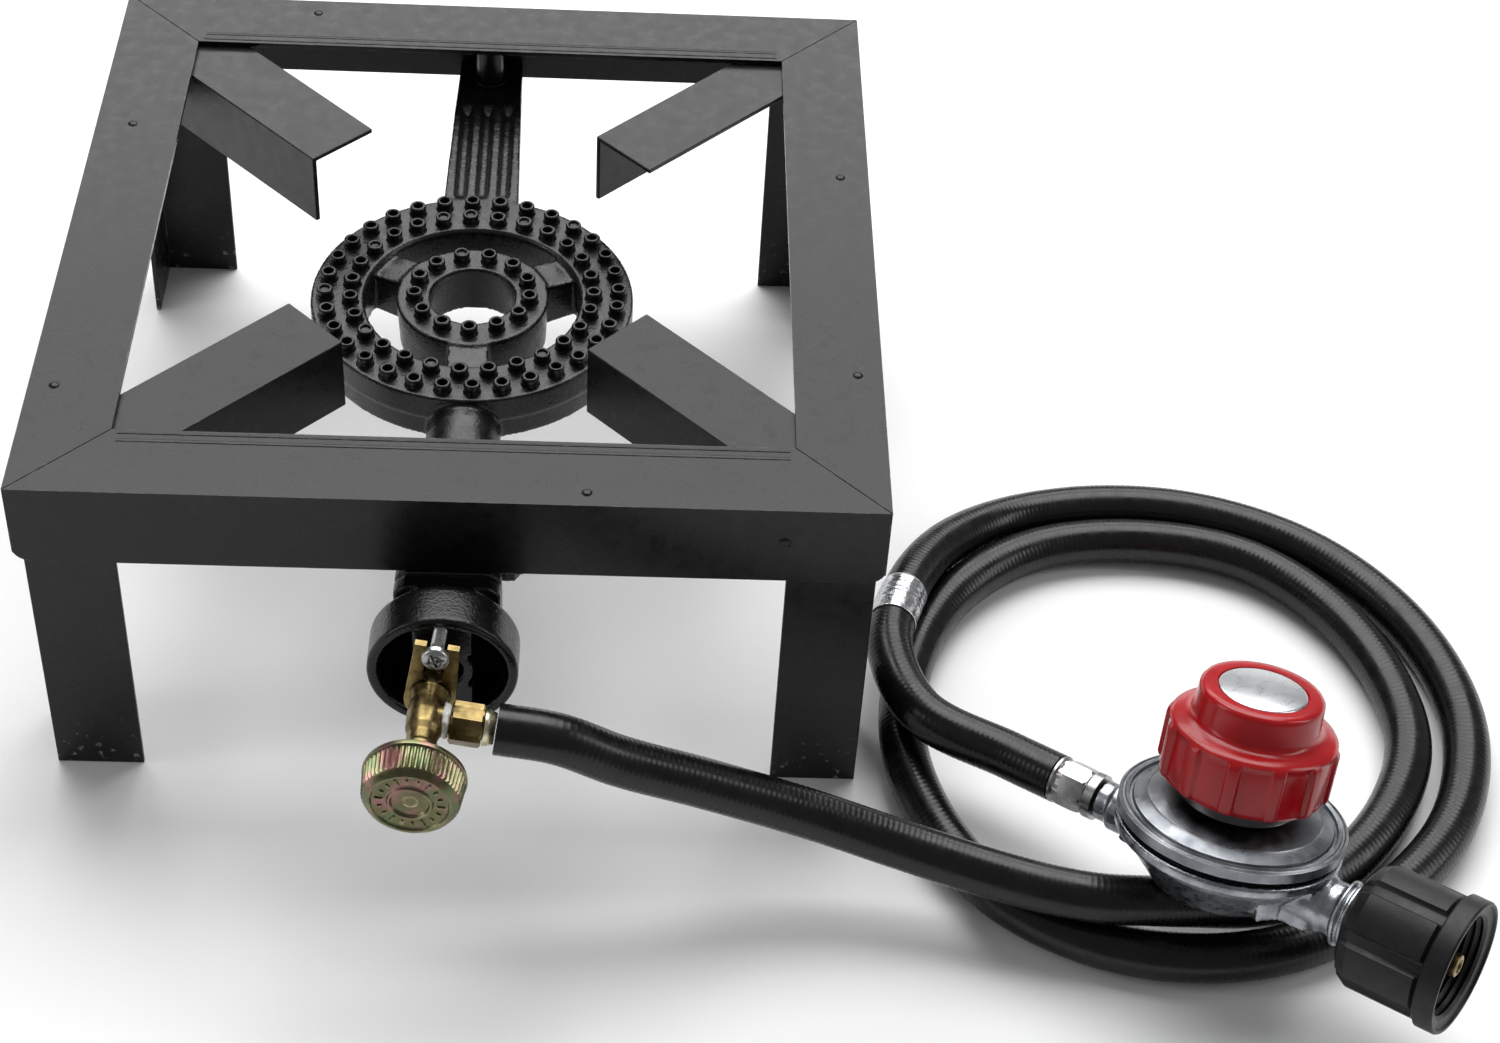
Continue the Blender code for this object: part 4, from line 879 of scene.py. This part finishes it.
def add_screw():
    """A pan-head screw with a cross recess, and its threaded shank."""
    seat = 14.8 * MM
    head = seat + 3.2 * MM
    profile = [
        (0, head), (2.4 * MM, head - 0.05 * MM), (3.8 * MM, head - 0.4 * MM),
        (4.6 * MM, head - 1.2 * MM), (4.8 * MM, head - 2.0 * MM), (4.75 * MM, seat),
    ]
    for number in range(44):
        radius = (2.35 if number % 2 else 2.05) * MM
        profile.append((radius, seat - number * 0.4 * MM))
    profile += [(2 * MM, -8 * MM), (0, -8 * MM)]
    mesh = turned("bracket_screw_turned", profile, SCREW, 48)
    item = piece("pan_head_screw", mesh, zinc_steel, "stand", "bracket_screw")
    cross = bmesh.new()
    for turn in (25, 115):
        place = SCREW @ Matrix.Rotation(math.radians(turn), 4, "Z")
        add_box(cross, (-2.9 * MM, -0.65 * MM, head - 1.6 * MM), (2.9 * MM, 0.65 * MM, head + 1 * MM), place)
        cutter_mesh = to_mesh("recess", cross)
        cutter = bpy.data.objects.new("recess", cutter_mesh)
        bpy.context.scene.collection.objects.link(cutter)
        recess = item.modifiers.new("recess", "BOOLEAN")
        recess.operation = "DIFFERENCE"
        recess.solver = "EXACT"
        recess.object = cutter
        graph = bpy.context.evaluated_depsgraph_get()
        item.data = bpy.data.meshes.new_from_object(item.evaluated_get(graph))
        item.modifiers.clear()
        bpy.data.objects.remove(cutter)
        cross = bmesh.new()
    cross.free()


def add_valve():
    softened("forked_bracket", "valve_bracket", brass, "stand", 0.45 * MM)
    add_screw()
    # A forged barrel: a flared foot on the bracket, a waist, and a round shoulder at the branch.
    barrel = [
        (0, 46 * MM), (5.3 * MM, 46 * MM), (5.6 * MM, 45.4 * MM), (5.6 * MM, 39 * MM),
        (5.2 * MM, 38 * MM), (5.2 * MM, 34 * MM), (6.2 * MM, 31 * MM), (6.6 * MM, 25 * MM),
        (6.3 * MM, 19.5 * MM), (6.8 * MM, 16.5 * MM), (7.2 * MM, 14.9 * MM),
        (4.5 * MM, 14.9 * MM), (4.5 * MM, 8 * MM), (0, 8 * MM),
    ]
    work = bmesh.new()
    add_turned(work, rounded(barrel, 0.6 * MM), VALVE, 72)
    thread = [(0, 0)]
    for number in range(26):
        radius = (4.6 if number % 2 else 4.3) * MM
        thread.append((radius, 6 * MM + number * 0.38 * MM))
    thread += [(4.3 * MM, 16 * MM), (0, 16 * MM)]
    add_turned(work, thread, BRANCH, 48)
    boss = [(0, 0), (5.6 * MM, 0), (5.6 * MM, 5.4 * MM), (4.9 * MM, 6 * MM), (0, 6 * MM)]
    add_turned(work, boss, BRANCH, 48)
    piece("valve_barrel", to_mesh("valve_barrel", work), brass, "stand", "valve_body")
    jet = [
        (3.2 * MM, 7.7 * MM), (3.2 * MM, -2 * MM), (2.2 * MM, -5 * MM), (0.9 * MM, -5 * MM),
        (0.9 * MM, 3 * MM), (2.4 * MM, 7.7 * MM),
    ]
    jet_mesh = turned("valve_jet_turned", rounded(jet, 0.3 * MM), VALVE, 48)
    piece("gas_jet", jet_mesh, brass, "stand", "valve_jet")
    nut = hex_nut("packing_nut_turned", 5 * MM, 2.7 * MM, 46.3 * MM, 52 * MM, VALVE)
    piece("gland_nut", nut, brass, "stand", "packing_nut")
    # Tape drawn into the threads and wrinkled where it was wound on.
    def wrinkle(angle, number):
        return 1 + (0.05 * math.sin(angle * 5 + number) + 0.03 * math.sin(angle * 11)) * (number < 6)

    wound = [(4.9 * MM, 8.1 * MM), (5.6 * MM, 7.9 * MM), (6.0 * MM, 7.3 * MM), (5.7 * MM, 6.6 * MM)]
    wound += [(5.9 * MM, 6.0 * MM), (5.3 * MM, 5.3 * MM), (4.7 * MM, 5.2 * MM)]
    tape_mesh = turned("thread_tape_wound", wound, BRANCH, 64, wrinkle)
    piece("wound_tape", tape_mesh, tape, "stand", "thread_tape")
    hose_nut = hex_nut("hose_nut_turned", 6.75 * MM, 4.9 * MM, 8.3 * MM, 19.3 * MM, BRANCH, 1.6 * MM)
    piece("flare_nut", hose_nut, brass, "stand", "hose_nut")
    barb = [
        (2 * MM, 16.3 * MM), (4.3 * MM, 16.3 * MM), (4.3 * MM, 19.6 * MM), (6.5 * MM, 19.6 * MM),
        (6.4 * MM, 20.6 * MM), (5.3 * MM, 23.5 * MM), (2 * MM, 23.5 * MM),
    ]
    barb_mesh = turned("hose_barb_turned", rounded(barb, 0.3 * MM), BRANCH, 64)
    piece("hose_cone", barb_mesh, pale_brass, "stand", "hose_barb")
    needle = [
        (0, 62 * MM), (2.1 * MM, 62 * MM), (2.3 * MM, 61.6 * MM), (2.3 * MM, 18 * MM),
        (0.7 * MM, 12 * MM), (0, 12 * MM),
    ]
    needle_mesh = turned("spindle_turned", needle, VALVE, 40)
    piece("spindle", needle_mesh, zinc_steel, "needle", "valve_needle")
    add_knob()


def add_knob():
    """A pressed and knurled knob with a rolled back rim, a ring and a dished boss on its face."""
    back, face = 50.2 * MM, 63.7 * MM

    def ribs(angle, number):
        if number not in (11, 12):
            return 1
        wave = math.cos(angle * KNOB_RIBS)
        return 1 + 0.028 * max(-1, min(1, wave * 2.2))

    profile = [
        (0, face - 1.5 * MM), (3 * MM, face - 1.45 * MM), (6.0 * MM, face - 1.2 * MM),
        (6.7 * MM, face - 0.1 * MM), (7.3 * MM, face - 0.1 * MM), (7.9 * MM, face - 0.9 * MM),
        (12.6 * MM, face - 0.9 * MM), (13.1 * MM, face - 0.1 * MM), (13.7 * MM, face),
        (15.2 * MM, face - 1.1 * MM), (15.9 * MM, face - 2.2 * MM), (16.0 * MM, face - 3.0 * MM),
        (16.7 * MM, back + 3.2 * MM), (16.6 * MM, back + 2.4 * MM), (17.4 * MM, back + 2.0 * MM),
        (17.5 * MM, back + 1.2 * MM), (17.2 * MM, back + 0.3 * MM), (16.4 * MM, back),
        (15.6 * MM, back + 0.6 * MM), (14.4 * MM, face - 2.6 * MM), (4.2 * MM, face - 2.6 * MM),
        (4.2 * MM, 53.5 * MM), (2.6 * MM, 53.5 * MM), (2.6 * MM, 62.3 * MM), (0, 62.3 * MM),
    ]
    work = bmesh.new()
    add_turned(work, profile, VALVE, KNOB_RIBS * 8, ribs)
    # Plain raised strokes round the face, where a knob like this carries its direction marks.
    for number in range(18):
        turn = VALVE @ Matrix.Rotation(ONE_TURN * number / 18, 4, "Z")
        length = 1.6 if number % 3 else 2.8
        low = ((10.3 - length / 2) * MM, -0.35 * MM, face - 1.1 * MM)
        add_box(work, low, ((10.3 + length / 2) * MM, 0.35 * MM, face - 0.45 * MM), turn)
    piece("knurled_knob", to_mesh("knurled_knob", work, 30), chromate, "knob", "valve_knob")


# --- Regulator -------------------------------------------------------------------------------

CAP_RIBS = 12
NUT_PADS = 7


def add_regulator():
    """The zinc casing with its ports and lugs, and the bonnet clamped on it."""
    work = bmesh.new()
    bowl = [
        (0, 12 * MM), (39.4 * MM, 12 * MM), (40.1 * MM, 11.3 * MM), (40.1 * MM, 8.4 * MM),
        (39.3 * MM, 7.6 * MM), (37.4 * MM, 7.2 * MM), (36.6 * MM, 5.6 * MM), (27 * MM, -6 * MM),
        (24.5 * MM, -9.4 * MM), (21 * MM, -10.5 * MM), (0, -10.5 * MM),
    ]
    add_turned(work, bowl, REGULATOR, 160)
    inlet = [(0, 18 * MM), (10.4 * MM, 18 * MM), (10.4 * MM, 41 * MM), (9.6 * MM, 42 * MM)]
    inlet += [(9.6 * MM, 45.6 * MM), (9 * MM, 46.4 * MM), (0, 46.4 * MM)]
    add_turned(work, inlet, PORT, 72)
    outlet = [(0, 18 * MM), (8.9 * MM, 18 * MM), (8.9 * MM, 43 * MM), (7.4 * MM, 44 * MM)]
    outlet += [(7.4 * MM, 49 * MM), (0, 49 * MM)]
    add_turned(work, outlet, OUTLET, 72, hex_reach(()))
    add_box(work, (22 * MM, -9.6 * MM, -8.4 * MM), (38 * MM, 9.6 * MM, 7.4 * MM), REGULATOR)
    add_box(work, (-36 * MM, -8.6 * MM, -7.4 * MM), (-22 * MM, 8.6 * MM, 7.4 * MM), REGULATOR)
    for degrees in (-33, 33):
        turn = REGULATOR @ Matrix.Rotation(math.radians(degrees), 4, "Z")
        add_box(work, (22 * MM, -4.5 * MM, -5 * MM), (33.5 * MM, 4.5 * MM, 7.4 * MM), turn)
    mesh = cast("regulator_casing_skin", work, 0.65 * MM, 2)
    piece("regulator_casing", mesh, zinc, "stand", "regulator_body")
    bonnet = [
        (4.4 * MM, 44 * MM), (19.4 * MM, 44 * MM), (20 * MM, 43.4 * MM), (20 * MM, 25.6 * MM),
        (20.8 * MM, 24.4 * MM), (24 * MM, 23.4 * MM), (30.2 * MM, 20.9 * MM),
        (30.6 * MM, 21.1 * MM), (31.1 * MM, 20.6 * MM), (34.9 * MM, 18.6 * MM),
        (35.4 * MM, 17.5 * MM), (36.1 * MM, 17.4 * MM), (36.6 * MM, 18.7 * MM),
        (37.6 * MM, 19 * MM), (38.1 * MM, 18.2 * MM), (38.7 * MM, 18.2 * MM),
        (39.2 * MM, 18.8 * MM), (40.1 * MM, 18 * MM), (40.1 * MM, 14.5 * MM),
        (39.4 * MM, 13.8 * MM), (31 * MM, 13.8 * MM), (31 * MM, 16.3 * MM), (14 * MM, 21 * MM),
        (14 * MM, 40.8 * MM), (4.4 * MM, 40.8 * MM),
    ]
    bonnet_mesh = turned("bonnet_turned", bonnet, REGULATOR, 160)
    piece("regulator_top", bonnet_mesh, cloudy_zinc_painted_shade, "stand", "regulator_bonnet")
    add_cap()


def stepped(share_of_turn, rise):
    """0 between ribs and 1 on a rib that takes up this share of its turn, with sloped sides."""
    def level(phase):
        away = abs(phase - 0.5) * 2
        return max(0.0, min(1.0, (share_of_turn - away) / rise + 0.5))

    return level


def add_cap():
    """The red adjusting knob: a skirt of wide panels between proud ribs, and a plain upper drum."""
    on_rib = stepped(0.3, 0.1)

    def panels(angle, number):
        if number not in (14, 15, 16, 17):
            return 1
        return 0.95 + 0.05 * on_rib((angle / ONE_TURN * CAP_RIBS) % 1)

    profile = [
        (0, 65.8 * MM), (15.7 * MM, 65.8 * MM), (15.9 * MM, 66.5 * MM), (19.4 * MM, 66.6 * MM),
        (20.8 * MM, 66.2 * MM), (21.5 * MM, 65.2 * MM), (21.6 * MM, 64 * MM),
        (21.9 * MM, 56.5 * MM), (22.3 * MM, 55 * MM), (23.4 * MM, 54 * MM), (25 * MM, 53.5 * MM),
        (27.4 * MM, 53 * MM), (28.5 * MM, 52.4 * MM), (29.1 * MM, 51.6 * MM),
        (30 * MM, 50.4 * MM), (30.2 * MM, 49 * MM), (30.2 * MM, 33.4 * MM),
        (29.7 * MM, 32.2 * MM), (28.6 * MM, 31.8 * MM), (27.4 * MM, 31.9 * MM),
        (27.4 * MM, 50 * MM), (7 * MM, 50.2 * MM), (7 * MM, 49.7 * MM), (4.4 * MM, 49.7 * MM),
        (4.4 * MM, 58.3 * MM), (0, 58.3 * MM),
    ]
    mesh = turned("cap_turned", profile, REGULATOR, CAP_RIBS * 30, panels, 40)
    piece("red_cap", mesh, red, "cap", "regulator_knob")
    disc = [
        (0, 66.62 * MM), (14.6 * MM, 66.6 * MM), (15.1 * MM, 66.45 * MM), (15.3 * MM, 66.2 * MM),
        (15.3 * MM, 66.1 * MM), (0, 66.1 * MM),
    ]
    disc_mesh = turned("disc_turned", disc, REGULATOR, 120)
    piece("plain_disc", disc_mesh, disc_foil, "cap", "knob_label_disc")


def add_tank_end():
    """The inlet collar, the nipple and the hand nut with its grip pads."""
    collar = [
        (8.2 * MM, 46.7 * MM), (11 * MM, 46.7 * MM), (12 * MM, 47.3 * MM), (12 * MM, 48.3 * MM),
        (11.1 * MM, 48.8 * MM), (11.1 * MM, 49.7 * MM), (12 * MM, 50.2 * MM), (12 * MM, 51.1 * MM),
        (11.5 * MM, 51.5 * MM), (8.2 * MM, 51.5 * MM),
    ]
    collar_mesh = turned("collar_turned", rounded(collar, 0.25 * MM), PORT, 96)
    piece("inlet_collar", collar_mesh, zinc, "stand")
    nipple = [
        (3.2 * MM, 90 * MM), (3.9 * MM, 89.7 * MM), (4.2 * MM, 88.5 * MM), (4.2 * MM, 68 * MM),
        (7.4 * MM, 65.4 * MM), (8 * MM, 64.6 * MM), (8 * MM, 46.8 * MM), (2 * MM, 46.8 * MM),
        (2 * MM, 89.2 * MM), (2.5 * MM, 90 * MM),
    ]
    nipple_mesh = turned("nipple_turned", nipple, PORT, 64)
    piece("brass_nipple", nipple_mesh, brass, "stand", "tank_nipple")
    on_pad = stepped(0.74, 0.1)

    def pads(angle, number):
        if number not in (3, 4, 5):
            return 1
        return 0.93 + 0.07 * on_pad((angle / ONE_TURN * NUT_PADS) % 1)

    nut = [
        (8.4 * MM, 52.3 * MM), (15.6 * MM, 52.3 * MM), (17.4 * MM, 52.9 * MM),
        (20.4 * MM, 54.6 * MM), (22.6 * MM, 58.4 * MM), (22.6 * MM, 82.6 * MM),
        (20.9 * MM, 84.2 * MM), (23.4 * MM, 84.3 * MM), (24.2 * MM, 85 * MM),
        (24.2 * MM, 91.3 * MM), (23.7 * MM, 92.1 * MM), (22.7 * MM, 92.1 * MM),
        (22.2 * MM, 91.2 * MM), (19.2 * MM, 90.6 * MM),
    ]
    for number in range(24):
        nut.append(((19.2 if number % 2 else 18.2) * MM, (89.6 - number * 1.3) * MM))
    nut += [(18.2 * MM, 58.3 * MM), (8.4 * MM, 58.3 * MM)]
    nut_mesh = turned("nut_turned", nut, PORT, NUT_PADS * 32, pads, 30)
    piece("grip_nut", nut_mesh, nylon, "hand_nut", "tank_nut")
    seal = [(6.1 * MM, 82 * MM), (6.1 * MM, 78 * MM), (4.5 * MM, 78 * MM), (4.5 * MM, 82 * MM)]
    seal_mesh = turned("seal_turned", rounded(seal, 0.7 * MM), PORT, 48)
    piece("o_ring", seal_mesh, seal_rubber, "stand", "nipple_seal")


def add_ferrule():
    """The sleeve crimped round the hose: eight pressed flats between two plain lips."""
    def flats(angle, number):
        if number in (4, 5, 6, 7):
            return 0.925 / math.cos((angle % (ONE_TURN / 8)) - ONE_TURN / 16)
        return 1

    profile = [
        (4 * MM, 49.3 * MM), (8.6 * MM, 49.8 * MM), (8.6 * MM, 53.2 * MM), (7.9 * MM, 54.2 * MM),
        (8.6 * MM, 55 * MM), (8.85 * MM, 57 * MM), (8.85 * MM, 63 * MM), (8.6 * MM, 65 * MM),
        (8.3 * MM, 65.6 * MM), (8.9 * MM, 66.3 * MM), (8.9 * MM, 67.2 * MM), (8.5 * MM, 67.6 * MM),
        (4 * MM, 67.6 * MM),
    ]
    mesh = turned("ferrule_turned", profile, OUTLET, 192, flats, 28)
    return piece("crimped_sleeve", mesh, zinc_steel, "stand", "crimp_ferrule")


# --- The whole stand ---------------------------------------------------------------------------

FINISHES = {
    "black_paint": paint,
    "black_cast_iron": iron,
    "brass": brass,
    "yellow_chromate": chromate,
    "thread_tape": tape,
    "black_rubber": seal_rubber,
    "silver_foil": foil,
    "die_cast_zinc": zinc,
    "red_plastic": red,
    "black_plastic": nylon,
    "zinc_plated_steel": zinc_steel,
}


def add_finishes_to_kept_nodes():
    """Inner pieces whose CAD shape is already right."""
    for row in RECORD["subparts"]:
        item = NODES[row["node"]]
        item.data.materials.clear()
        item.data.materials.append(FINISHES[row["material_slot"]])


def main():
    add_camera()
    add_studio()
    hose, label, route = add_hose()
    add_finishes_to_kept_nodes()
    add_stand()
    add_burner()
    add_hangers()
    add_bell()
    add_valve()
    add_regulator()
    add_tank_end()
    add_ferrule()


main()
